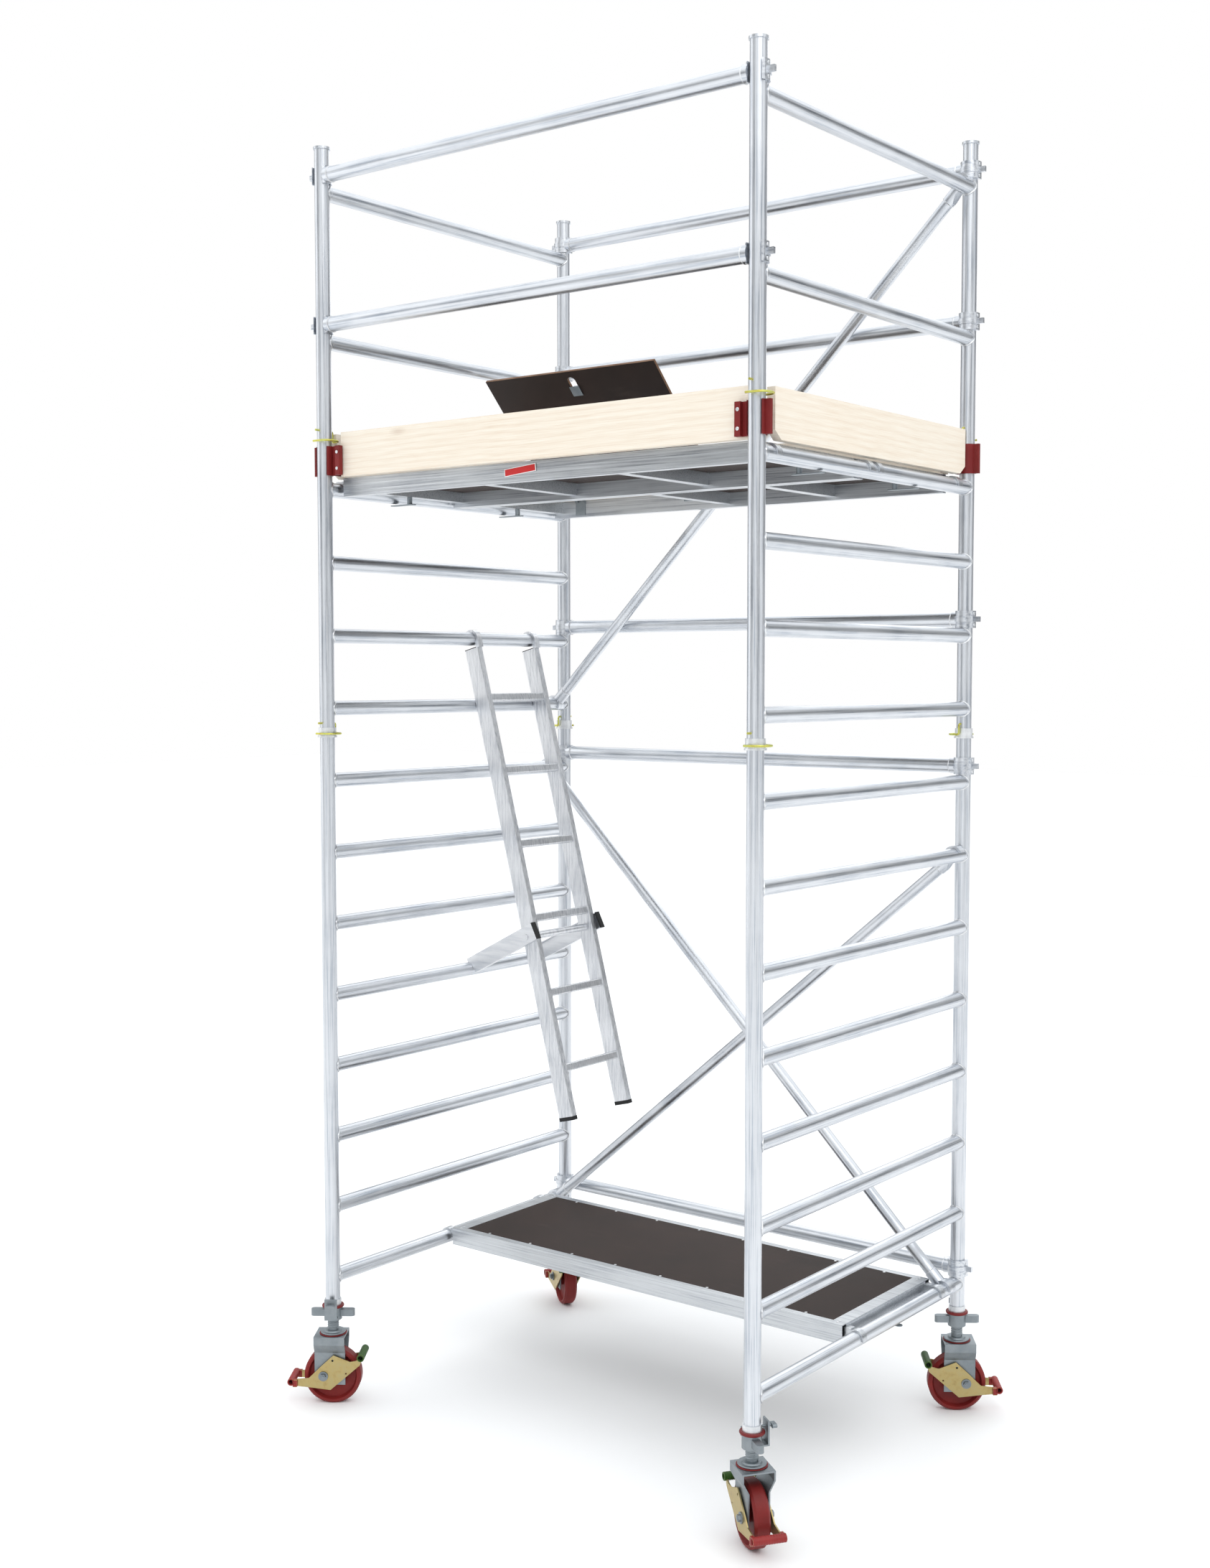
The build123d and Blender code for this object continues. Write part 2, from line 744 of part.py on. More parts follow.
slot_y = hatch_axis_y - hatch_reach + slot_from_edge
slot_x = hatch_left + hatch_width / 2
with BuildPart() as leaf:
    leaf_depth = hatch_reach - hatch_edge_gap
    with Locations((slot_x, hatch_axis_y - hatch_edge_gap - leaf_depth / 2, hatch_axis_z)):
        Box(hatch_width, leaf_depth, panel_thickness)
    with BuildSketch(Plane.XY.offset(hatch_axis_z - panel_thickness)):
        with Locations(Location((slot_x, slot_y), 90)):
            SlotOverall(slot_length, slot_width)
    extrude(amount=2 * panel_thickness, mode=Mode.SUBTRACT)
open_leaf = leaf.part.rotate(hatch_axis, hatch_open_angle)
write_node("hatch_leaf", [open_leaf] + [make_strap(x) for x in hinge_places])

latch_top = hatch_axis_z - panel_thickness / 2
with BuildPart() as latch_plate:
    with Locations((slot_x, slot_y + latch_plate_length / 2 + 2, latch_top - latch_plate_metal / 2)):
        Box(latch_plate_width, latch_plate_length, latch_plate_metal)
with BuildPart() as latch_finger:
    with Locations((slot_x, slot_y + slot_length * 0.12, latch_top + panel_thickness / 2)):
        Box(slot_width * 0.6, latch_finger_metal, panel_thickness)
latch_solids = (latch_plate.part, latch_finger.part)
write_node("hatch_latch", [solid.rotate(hatch_axis, hatch_open_angle) for solid in latch_solids])


# ---------------------------------------------------------------- toe boards
board_bottom = deck_top + board_lift


def make_long_board(outer_face, thick_side):
    """A toe board along the tower, its outer face at the place given."""
    left = -half_long + long_board_start
    right = half_long - long_board_end
    middle_y = outer_face + thick_side * board_thickness / 2
    with BuildPart() as board:
        with Locations(((left + right) / 2, middle_y, board_bottom + board_height / 2)):
            Box(right - left, board_thickness, board_height)
    return board.part


def make_end_board(side):
    """A toe board across the end, over the rung, with its lower corners cut off."""
    start = -side * (half_wide - end_board_start)
    finish = side * (half_wide - end_board_finish)
    low_y = min(start, finish)
    high_y = max(start, finish)
    top = board_bottom + board_height
    with BuildPart() as board:
        with BuildSketch(Plane.YZ.offset(side * half_long - board_thickness / 2)):
            with BuildLine():
                Polyline(
                    (low_y, top),
                    (low_y, board_bottom + board_chamfer_high),
                    (low_y + board_chamfer_long, board_bottom),
                    (high_y - board_chamfer_long, board_bottom),
                    (high_y, board_bottom + board_chamfer_high),
                    (high_y, top),
                    close=True,
                )
            make_face()
        extrude(amount=board_thickness)
    return board.part


front_face = -half_wide + front_board_offset
back_face = half_wide - back_board_offset
long_boards = [make_long_board(front_face, 1), make_long_board(back_face, -1)]
write_node("toe_boards", long_boards + [make_end_board(-1), make_end_board(1)])


def make_bracket(x, y, arm, plate, reach):
    """A pressed corner bracket: a clip round the post and a channel for the toe board."""
    inward = 1 if y < 0 else -1
    low = board_bottom + bracket_lift
    ring_inner = tube_radius + clearance
    ring_outer = ring_inner + bracket_wall
    boxes = (
        (26, 75, arm, arm + bracket_wall),
        (55, 75, arm - 13, arm + bracket_wall),
        (27, 27 + bracket_wall, 0, plate + bracket_wall),
        (27, reach, plate, plate + bracket_wall),
        (-47, -28, -3, 9),
    )
    towards_middle = -1 if x > 0 else 1
    with BuildPart() as bracket:
        with BuildSketch(Plane.XY.offset(low)):
            with Locations((x, y)):
                Circle(ring_outer)
            for left, right, near, far in boxes:
                along = towards_middle * (left + right) / 2
                with Locations((x + along, y + inward * (near + far) / 2)):
                    Rectangle(right - left, far - near)
            with Locations((x, y)):
                Circle(ring_inner, mode=Mode.SUBTRACT)
            with Locations((x, y - inward * (ring_outer / 2 + 8))):
                Rectangle(2 * ring_inner, ring_outer, mode=Mode.SUBTRACT)
        extrude(amount=bracket_height)
    return bracket.part


front_places = (front_arm_distance, front_plate_distance, front_plate_reach)
back_places = (back_arm_distance, back_plate_distance, back_plate_reach)
brackets = []
for corner_x, corner_y, _ in corners.values():
    places = front_places if corner_y < 0 else back_places
    brackets.append(make_bracket(corner_x, corner_y, *places))
write_node("toe_board_brackets", brackets)


# ---------------------------------------------------------------- ladder
ladder_axis_x = -half_long
ladder_axis_z = rung_height(ladder_rung)
lean = radians(ladder_lean)
down = Vector(sin(lean), 0, -cos(lean))
outward = Vector(cos(lean), 0, sin(lean))


def ladder_point(along, off, y):
    """A point given along the ladder from its hooks, square off it, and across."""
    base = Vector(ladder_axis_x, y, ladder_axis_z)
    return base + down * along + outward * off


def make_ladder_bar(along, off, y, length_y, depth, height, wall):
    """A rectangular bar across the ladder."""
    start = ladder_point(along, off, y - length_y / 2)
    with BuildPart() as bar:
        with BuildSketch(Plane(origin=start, x_dir=outward, z_dir=(0, 1, 0))):
            RectangleRounded(depth, height, 4)
            RectangleRounded(depth - 2 * wall, height - 2 * wall, 2, mode=Mode.SUBTRACT)
        extrude(amount=length_y)
    return bar.part


def make_stile(y):
    """One ribbed side rail of the ladder."""
    start = ladder_point(stile_top, stile_offset, y)
    with BuildPart() as stile:
        with BuildSketch(Plane(origin=start, x_dir=outward, z_dir=down)):
            RectangleRounded(stile_depth, stile_thickness, 3)
            Rectangle(stile_depth - 2 * stile_wall, stile_thickness - 2 * stile_wall, mode=Mode.SUBTRACT)
        extrude(amount=stile_end - stile_top)
        pivot = ladder_point(strut_pivot_distance, stile_offset, y - stile_thickness)
        with BuildSketch(Plane(origin=pivot, x_dir=(1, 0, 0), z_dir=(0, 1, 0))):
            Circle(strut_bar_radius + strut_bar_gap)
        extrude(amount=2 * stile_thickness, mode=Mode.SUBTRACT)
    return stile.part


def make_ladder_hook(y):
    """A cast hook in three solids: a leg on the stile and two arcs over the rung."""
    inner = rung_radius + clearance
    outer = inner + ladder_hook_thickness
    centre = ladder_point(0, 0, y - ladder_hook_width / 2)
    plane = Plane(origin=centre, x_dir=outward, z_dir=(0, 1, 0))
    spans = (
        (inner - 6, outer, 0, stile_top),
        (0, outer, -outer, 0),
        (-outer, 0, -outer, 4),
    )
    solids = []
    for left, right, low, high in spans:
        with BuildPart() as section:
            with BuildSketch(plane):
                with Locations(((left + right) / 2, (low + high) / 2)):
                    Rectangle(right - left, high - low)
                if high <= 4:
                    Circle(outer, mode=Mode.INTERSECT)
                Circle(inner, mode=Mode.SUBTRACT)
            extrude(amount=ladder_hook_width)
        solids.append(section.part)
    return solids


stile_places = (ladder_centre - stile_spacing / 2, ladder_centre + stile_spacing / 2)
inside_width = stile_spacing - stile_thickness
ladder_pieces = []
ladder_caps = []
for stile_y in stile_places:
    ladder_pieces.append(make_stile(stile_y))
    ladder_pieces.extend(make_ladder_hook(stile_y))
    with BuildPart() as foot_cap:
        stile_foot = ladder_point(stile_end, stile_offset, stile_y)
        with BuildSketch(Plane(origin=stile_foot, x_dir=outward, z_dir=down)):
            RectangleRounded(stile_depth + 2, stile_thickness + 2, 4)
        extrude(amount=cap_thickness * 2)
    ladder_caps.append(foot_cap.part)
    with BuildPart() as top_cap:
        cap_plane = Plane(origin=ladder_point(stile_top, 0, stile_y), x_dir=outward, z_dir=down * -1)
        back_edge = stile_offset - stile_depth / 2
        front_edge = rung_radius + clearance - 8
        with BuildSketch(cap_plane):
            with Locations(((back_edge + front_edge) / 2, 0)):
                Rectangle(front_edge - back_edge, stile_thickness)
        extrude(amount=3)
    ladder_caps.append(top_cap.part)
for count in range(ladder_rung_count):
    along = ladder_rung_first + count * ladder_rung_pitch
    section = (ladder_rung_depth, ladder_rung_height, stile_wall)
    ladder_pieces.append(make_ladder_bar(along, 8, ladder_centre, inside_width, *section))
write_node("ladder_frame", ladder_pieces)
write_node("ladder_caps", ladder_caps)

strut_pivot = ladder_point(strut_pivot_distance, stile_offset, ladder_centre)
strut_foot = Vector(-half_long, ladder_centre, rung_height(strut_rung))
strut_run = (strut_foot - strut_pivot).normalized()
strut_length = (strut_foot - strut_pivot).length
strut_up = strut_run.cross(Vector(0, 1, 0)).normalized()
if strut_up.Z < 0:
    strut_up = strut_up * -1


def make_strut_arm(side):
    """One arm of the strut, a channel outside the stile, notched over the rung."""
    inner_y = ladder_centre + side * (stile_spacing / 2 + stile_thickness / 2 + strut_gap)
    outer_y = inner_y + side * strut_arm_width
    low_y = min(inner_y, outer_y)
    start = strut_pivot - strut_run * strut_overhang
    start = Vector(start.X, low_y, start.Z)
    total = strut_overhang + strut_length + strut_tail
    rise = strut_rise
    with BuildPart() as arm:
        with BuildSketch(Plane(origin=start, x_dir=strut_run, z_dir=(0, 1, 0))):
            with Locations((total / 2, rise)):
                Rectangle(total, strut_arm_height)
        extrude(amount=strut_arm_width)
        hollow_start = Vector(start.X, low_y + (strut_arm_wall if side < 0 else -1), start.Z)
        with BuildSketch(Plane(origin=hollow_start, x_dir=strut_run, z_dir=(0, 1, 0))):
            with Locations((total / 2, rise)):
                Rectangle(total + 2, strut_arm_height - 2 * strut_arm_wall)
        extrude(amount=strut_arm_width - strut_arm_wall + 1, mode=Mode.SUBTRACT)
        notch = Vector(strut_foot.X, low_y - 1, strut_foot.Z)
        slot_low = -strut_down_sign * strut_arm_height
        with BuildSketch(Plane(origin=notch, x_dir=strut_run, z_dir=(0, 1, 0))):
            Circle(rung_radius + clearance)
            with Locations((0, slot_low / 2)):
                Rectangle(2 * (rung_radius + clearance + strut_notch_slack), strut_arm_height)
        extrude(amount=strut_arm_width + 2, mode=Mode.SUBTRACT)
    return arm.part


side_plane = Plane(origin=(0, 0, 0), x_dir=strut_run, z_dir=(0, 1, 0))
strut_down_sign = 1 if side_plane.y_dir.Z > 0 else -1
strut_rise = strut_down_sign * 6.0
strut_pieces = [make_strut_arm(-1), make_strut_arm(1)]
strut_caps = []
with BuildPart() as strut_bar:
    bar_half = ladder_centre - stile_spacing / 2 - stile_thickness / 2 - strut_gap
    bar_start = Vector(strut_pivot.X, bar_half, strut_pivot.Z)
    with BuildSketch(Plane(origin=bar_start, z_dir=(0, 1, 0))):
        Circle(strut_bar_radius)
        Circle(strut_bar_radius - strut_bar_wall, mode=Mode.SUBTRACT)
    extrude(amount=stile_spacing + stile_thickness + 2 * strut_gap)
strut_pieces.append(strut_bar.part)
for side in (-1, 1):
    inner_y = ladder_centre + side * (stile_spacing / 2 + stile_thickness / 2 + strut_gap)
    outer_y = inner_y + side * strut_arm_width
    with BuildPart() as rivet:
        with BuildSketch(Plane(origin=(strut_pivot.X, outer_y, strut_pivot.Z), z_dir=(0, side, 0))):
            Circle(strut_rivet_radius)
        extrude(amount=strut_rivet_height)
    strut_pieces.append(rivet.part)
    with BuildPart() as cap:
        corner = strut_pivot - strut_run * (strut_overhang + cap_thickness)
        origin = Vector(corner.X, min(inner_y, outer_y), corner.Z)
        with BuildSketch(Plane(origin=origin, x_dir=strut_run, z_dir=(0, 1, 0))):
            with Locations((cap_thickness / 2, strut_rise)):
                Rectangle(cap_thickness, strut_arm_height + 2)
        extrude(amount=strut_arm_width)
    strut_caps.append(cap.part)
write_node("ladder_strut", strut_pieces)
write_node("strut_caps", strut_caps)


# ---------------------------------------------------------------- casters
# Each caster is drawn at the origin: X towards the red pedal, Y across the wheel, then turned to its post.
def side_plane_at(y):
    """A plane facing along Y whose sketch reads forward and up."""
    return Plane(origin=(0, y, 0), x_dir=(1, 0, 0), z_dir=(0, -1, 0))


def make_disc(bottom, top, radius):
    """A plain round disc or rod on the caster's middle line."""
    with BuildPart() as disc:
        with BuildSketch(Plane.XY.offset(bottom)):
            Circle(radius)
        extrude(amount=top - bottom)
    return disc.part


def make_spindle():
    """The threaded spindle with its flange, boss and seal, and the king pin the fork turns on."""
    seal_bottom = fork_top + clearance
    flange_bottom = seal_bottom + seal_height
    boss_bottom = flange_bottom + flange_height
    rod_bottom = boss_bottom + boss_height
    head_top = fork_top - fork_metal - clearance
    return [
        make_disc(head_top - king_head_height, head_top, king_head_radius),
        make_disc(head_top, flange_bottom, king_pin_radius),
        make_disc(flange_bottom, boss_bottom, flange_radius),
        make_disc(boss_bottom, rod_bottom, boss_radius),
        make_disc(rod_bottom, spindle_top, spindle_radius),
        make_ring(0, 0, seal_bottom, seal_height, seal_radius, king_pin_radius),
    ]


def make_wing_nut():
    """The height nut with its two arms, and the clip bracket with its wing screw."""
    top = foot_sleeve_bottom - clearance
    upright_outside = nut_clip_place + nut_clip_metal
    body = make_ring(0, 0, nut_bottom, top - nut_bottom, nut_radius, spindle_radius + spindle_gap)
    with BuildPart() as arms:
        with BuildSketch(Plane.XY.offset(nut_arm_bottom)):
            SlotOverall(2 * nut_arm_reach, nut_arm_width)
            Circle(nut_radius, mode=Mode.SUBTRACT)
        extrude(amount=nut_arm_height)
    with BuildPart() as base:
        with BuildSketch(Plane.XY.offset(nut_clip_bottom)):
            with Locations((0, nut_clip_place / 2)):
                Rectangle(nut_clip_width, nut_clip_place)
            Circle(nut_radius, mode=Mode.SUBTRACT)
        extrude(amount=nut_clip_metal)
    with BuildPart() as upright:
        with BuildSketch(side_plane_at(upright_outside)):
            with Locations((0, (nut_clip_top + nut_clip_bottom) / 2)):
                Rectangle(nut_clip_width, nut_clip_top - nut_clip_bottom)
            with Locations((0, wing_screw_height)):
                Circle(wing_screw_radius + stud_gap, mode=Mode.SUBTRACT)
        extrude(amount=nut_clip_metal)
    with BuildPart() as screw:
        with BuildSketch(side_plane_at(upright_outside + wing_screw_outside)):
            with Locations((0, wing_screw_height)):
                Circle(wing_screw_radius)
        extrude(amount=upright_outside + wing_screw_outside - foot_sleeve_radius - clearance)
    with BuildPart() as wing:
        with BuildSketch(side_plane_at(upright_outside + wing_screw_outside + wing_depth)):
            with Locations((0, wing_screw_height)):
                SlotOverall(wing_span, wing_height)
        extrude(amount=wing_depth)
    return [body, arms.part, base.part, upright.part, screw.part, wing.part]


def make_slab(outline, holes):
    """One flat wall of the fork, its outline seen from the front, drilled across."""
    with BuildPart() as slab:
        with BuildSketch(Plane.YZ.offset(fork_back)):
            with BuildLine():
                Polyline(*outline, close=True)
            make_face()
        extrude(amount=fork_length)
        for forward, height, radius in holes:
            with BuildSketch(side_plane_at(2 * fork_upper_half)):
                with Locations((forward, height)):
                    Circle(radius)
            extrude(amount=4 * fork_upper_half, mode=Mode.SUBTRACT)
    return slab.part


def make_fork():
    """The fork, wall by wall, with its axle and the studs the brake plates turn on."""
    low = fork_lower_half
    high = fork_upper_half
    thin = fork_metal
    crown_bottom = fork_top - thin
    walls = []
    for side in (-1, 1):
        outer_low = side * low
        inner_low = side * (low - thin)
        outer_high = side * high
        inner_high = side * (high - thin)
        leg = (
            (inner_low, fork_leg_bottom),
            (outer_low, fork_leg_bottom),
            (outer_low, fork_knee_low),
            (inner_low, fork_knee_low),
        )
        knee = (
            (inner_low, fork_knee_low),
            (outer_low, fork_knee_low),
            (outer_high, fork_knee_high),
            (inner_high, fork_knee_high),
        )
        cheek = (
            (inner_high, fork_knee_high),
            (outer_high, fork_knee_high),
            (outer_high, crown_bottom),
            (inner_high, crown_bottom),
        )
        walls.append(make_slab(leg, ((0, wheel_radius, axle_radius),)))
        walls.append(make_slab(knee, ()))
        walls.append(make_slab(cheek, ()))
    with BuildPart() as crown:
        with BuildSketch(Plane.XY.offset(crown_bottom)):
            with Locations((fork_back + fork_length / 2, 0)):
                Rectangle(fork_length, 2 * high)
            Circle(king_pin_radius + axle_gap, mode=Mode.SUBTRACT)
        extrude(amount=thin)
    with BuildPart() as axle:
        with BuildSketch(side_plane_at(low)):
            with Locations((0, wheel_radius)):
                Circle(axle_radius)
        extrude(amount=2 * low)
    return walls + [crown.part, axle.part] + [make_stud(side) for side in (-1, 1)]


def make_stud(side):
    """A stud outside a fork leg with a spacer, a washer and a nut that hold the brake plate."""
    leg = fork_lower_half
    plate = brake_plate_inner
    washer = plate + brake_plate_metal + clearance
    nut = washer + stud_washer_metal
    bands = (
        (leg, nut + stud_nut_height + 2, stud_radius),
        (leg, plate - clearance, stud_washer_radius),
        (washer, nut, stud_washer_radius),
    )
    with BuildPart() as stud:
        for near, far, radius in bands:
            with BuildSketch(side_plane_at(side * near)):
                with Locations((brake_pivot_forward, brake_pivot_height)):
                    Circle(radius)
            extrude(amount=-side * (far - near))
        with BuildSketch(side_plane_at(side * nut)):
            with Locations((brake_pivot_forward, brake_pivot_height)):
                RegularPolygon(stud_nut_width / 2, 6, major_radius=False)
        extrude(amount=-side * stud_nut_height)
    return stud.part


def make_wheel():
    """A moulded wheel with a dished web and a bored hub."""
    half = wheel_width / 2
    web = wheel_web_width / 2
    hub_half = fork_lower_half - fork_metal - clearance
    with BuildPart() as wheel:
        with BuildSketch(Plane.XY):
            with BuildLine():
                Polyline(
                    (axle_radius + axle_gap, -hub_half),
                    (wheel_hub_radius, -hub_half),
                    (wheel_hub_radius, -web),
                    (wheel_dish_radius, -web),
                    (wheel_dish_radius + 6, -half),
                    (wheel_radius - wheel_edge_radius, -half),
                    (wheel_radius, -half + wheel_edge_radius),
                    (wheel_radius, half - wheel_edge_radius),
                    (wheel_radius - wheel_edge_radius, half),
                    (wheel_dish_radius + 6, half),
                    (wheel_dish_radius, web),
                    (wheel_hub_radius, web),
                    (wheel_hub_radius, hub_half),
                    (axle_radius + axle_gap, hub_half),
                    close=True,
                )
            make_face()
        revolve(axis=Axis.Y)
    return [wheel.part.moved(Location((0, 0, wheel_radius)))]


def make_brake():
    """The rocking brake: two shaped cheeks with a pedal tube at each end between them."""
    outline = (
        (124, 68),
        (81, 64),
        (4, 55),
        (-100, 144),
        (-88, 160),
        (-65, 156),
        (-7, 179),
        (37, 139),
        (80, 97),
        (124, 92),
    )
    arm = (
        (-100, 144),
        (-88, 160),
        (green_grip_forward + 8, green_grip_height),
        (green_grip_forward - 8, green_grip_height),
    )
    holes = ((-4, 160, 4), (-51, 114, 3))
    grips = ((red_grip_forward, red_grip_height), (green_grip_forward, green_grip_height))
    block_middle = (red_grip_forward - 14, red_grip_height - 4)
    solids = []
    for side in (-1, 1):
        inner = side * brake_plate_inner
        with BuildPart() as cheek:
            with BuildSketch(side_plane_at(inner)):
                for shape in (outline, arm):
                    with BuildLine():
                        Polyline(*shape, close=True)
                    make_face()
            extrude(amount=-side * brake_plate_metal)
            with BuildSketch(side_plane_at(inner)):
                with Locations(block_middle):
                    Rectangle(14, 26)
                for forward, height in grips:
                    with Locations((forward, height)):
                        Circle(grip_radius)
            extrude(amount=-side * (fork_upper_half - brake_plate_inner))
            with BuildSketch(side_plane_at(inner)):
                with Locations((brake_pivot_forward, brake_pivot_height)):
                    Circle(stud_radius + stud_gap)
                for forward, height, radius in holes:
                    with Locations((forward, height)):
                        Circle(radius)
                for forward, height in grips:
                    with Locations((forward, height)):
                        Circle(grip_bore)
            extrude(amount=-side * fork_upper_half, mode=Mode.SUBTRACT)
        solids.append(cheek.part)
    for forward, height in grips:
        with BuildPart() as grip:
            with BuildSketch(side_plane_at(brake_plate_inner)):
                with Locations((forward, height)):
                    Circle(grip_radius)
                    Circle(grip_bore, mode=Mode.SUBTRACT)
            extrude(amount=2 * brake_plate_inner)
        solids.append(grip.part)
    return solids


caster_nodes = {
    "caster_spindle_": make_spindle(),
    "caster_wing_nut_": make_wing_nut(),
    "caster_fork_": make_fork(),
    "caster_wheel_": make_wheel(),
    "caster_brake_": make_brake(),
}
for corner, (corner_x, corner_y, angle) in corners.items():
    place = Location((corner_x, corner_y, 0), (0, 0, angle))
    for prefix, solids in caster_nodes.items():
        write_node(prefix + corner, [solid.moved(place) for solid in solids])
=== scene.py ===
import json
import math
import random

import bmesh
import bpy
from mathutils import Matrix, Vector


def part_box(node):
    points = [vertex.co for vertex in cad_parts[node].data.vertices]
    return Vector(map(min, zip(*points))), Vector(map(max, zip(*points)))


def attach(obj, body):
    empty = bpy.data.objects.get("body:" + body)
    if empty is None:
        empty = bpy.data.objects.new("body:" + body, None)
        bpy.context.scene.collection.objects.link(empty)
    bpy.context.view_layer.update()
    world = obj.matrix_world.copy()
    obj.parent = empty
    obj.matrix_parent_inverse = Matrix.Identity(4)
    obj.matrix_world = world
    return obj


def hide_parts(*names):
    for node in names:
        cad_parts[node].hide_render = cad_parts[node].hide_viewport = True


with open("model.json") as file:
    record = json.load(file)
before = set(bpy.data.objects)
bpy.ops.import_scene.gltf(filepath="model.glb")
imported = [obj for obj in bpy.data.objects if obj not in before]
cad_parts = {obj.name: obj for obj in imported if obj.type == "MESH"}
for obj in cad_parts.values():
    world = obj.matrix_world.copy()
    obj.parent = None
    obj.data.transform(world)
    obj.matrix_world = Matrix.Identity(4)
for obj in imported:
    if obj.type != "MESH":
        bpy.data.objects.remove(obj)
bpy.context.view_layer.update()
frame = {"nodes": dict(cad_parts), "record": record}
random.seed(7)

# Sizes in metres, the same as the CAD model's own.
HALF_LONG = 0.8875
HALF_WIDE = 0.6435
POST_R = 0.0254
RUNG_R = 0.025
LOWEST_RUNG = 0.45
RUNG_PITCH = 0.25
RAIL_RISE = 0.055
CLAW_R = 0.0335
RAIL_SOCKET = 0.012
SOCKET_END = 0.074
OUTER_BRACE_Y = 0.5895
INNER_BRACE_Y = 0.5485
DECK_WIDTH = 0.579
DECK_END = 0.848
UPPER_DECK_TOP = 3.24
LOWER_DECK_TOP = 0.49
HATCH_AXIS_Y = 0.531
HATCH_REACH = 0.575
HATCH_OPEN = math.radians(46.0)
LADDER_LEAN = math.radians(14.9)
STILE_PLACES = (0.102, 0.432)
WHEEL_R = 0.1
BEAD = 0.0012
WELD_SINK = 0.0008
SMALLEST = 1e-5
CORNERS = {
    "front_left": (-HALF_LONG, -HALF_WIDE),
    "front_right": (HALF_LONG, -HALF_WIDE),
    "back_left": (-HALF_LONG, HALF_WIDE),
    "back_right": (HALF_LONG, HALF_WIDE),
}
SPREAD = math.atan2(2 * HALF_WIDE, 2 * HALF_LONG)
TURN = {
    "front_left": math.pi + SPREAD,
    "front_right": -SPREAD,
    "back_left": math.pi - SPREAD,
    "back_right": SPREAD,
}
SLOT_OF = {entry["node"]: entry["material_slot"] for entry in frame["record"]["subparts"]}


# ------------------------------------------------------------------ materials
class Graph:
    """A small helper that adds nodes to a material and joins them."""

    def __init__(self, name):
        self.material = bpy.data.materials.new(name)
        self.material.use_nodes = True
        self.tree = self.material.node_tree
        self.shader = self.tree.nodes["Principled BSDF"]
        self.coords = self.tree.nodes.new("ShaderNodeTexCoord").outputs["Object"]

    def node(self, kind, **settings):
        made = self.tree.nodes.new(kind)
        for key, value in settings.items():
            setattr(made, key, value)
        return made

    def link(self, source, target):
        self.tree.links.new(source, target)

    def stretched(self, scale, offset=(0, 0, 0)):
        mapping = self.node("ShaderNodeMapping")
        mapping.inputs["Scale"].default_value = scale
        mapping.inputs["Location"].default_value = offset
        self.link(self.coords, mapping.inputs["Vector"])
        return mapping.outputs["Vector"]

    def noise(self, vector, scale=1.0, detail=3.0, rough=0.55):
        made = self.node("ShaderNodeTexNoise")
        made.inputs["Scale"].default_value = scale
        made.inputs["Detail"].default_value = detail
        made.inputs["Roughness"].default_value = rough
        self.link(vector, made.inputs["Vector"])
        return made.outputs["Fac"]

    def math(self, operation, first, second=None):
        made = self.node("ShaderNodeMath", operation=operation)
        for index, value in enumerate((first, second)):
            if value is None:
                continue
            if isinstance(value, (int, float)):
                made.inputs[index].default_value = value
            else:
                self.link(value, made.inputs[index])
        return made.outputs[0]

    def ramp(self, value, stops):
        made = self.node("ShaderNodeValToRGB")
        ramp = made.color_ramp
        while len(ramp.elements) < len(stops):
            ramp.elements.new(0.5)
        for element, (place, colour) in zip(ramp.elements, stops):
            element.position = place
            element.color = (*colour, 1.0)
        self.link(value, made.inputs["Fac"])
        return made.outputs["Color"]

    def range(self, value, low, high, new_low, new_high):
        made = self.node("ShaderNodeMapRange")
        for key, number in (("From Min", low), ("From Max", high), ("To Min", new_low), ("To Max", new_high)):
            made.inputs[key].default_value = number
        self.link(value, made.inputs["Value"])
        return made.outputs["Result"]

    def mix(self, factor, first, second):
        made = self.node("ShaderNodeMix", data_type="RGBA")
        for key, value in ((0, factor), (6, first), (7, second)):
            if isinstance(value, (int, float)):
                made.inputs[key].default_value = value
            elif isinstance(value, tuple):
                made.inputs[key].default_value = (*value, 1.0)
            else:
                self.link(value, made.inputs[key])
        return made.outputs[2]

    def bump(self, height, strength, distance, under=None):
        made = self.node("ShaderNodeBump")
        made.inputs["Strength"].default_value = strength
        made.inputs["Distance"].default_value = distance
        self.link(height, made.inputs["Height"])
        if under is not None:
            self.link(under, made.inputs["Normal"])
        return made.outputs["Normal"]

    def finish(self, colour, roughness, normal=None, metallic=0.0, **plain):
        self.link(colour, self.shader.inputs["Base Color"])
        self.link(roughness, self.shader.inputs["Roughness"])
        if normal is not None:
            self.link(normal, self.shader.inputs["Normal"])
        self.shader.inputs["Metallic"].default_value = metallic
        for key, value in plain.items():
            self.shader.inputs[key.replace("_", " ")].default_value = value
        return self.material

    def split(self):
        made = self.node("ShaderNodeSeparateXYZ")
        self.link(self.coords, made.inputs[0])
        return made.outputs


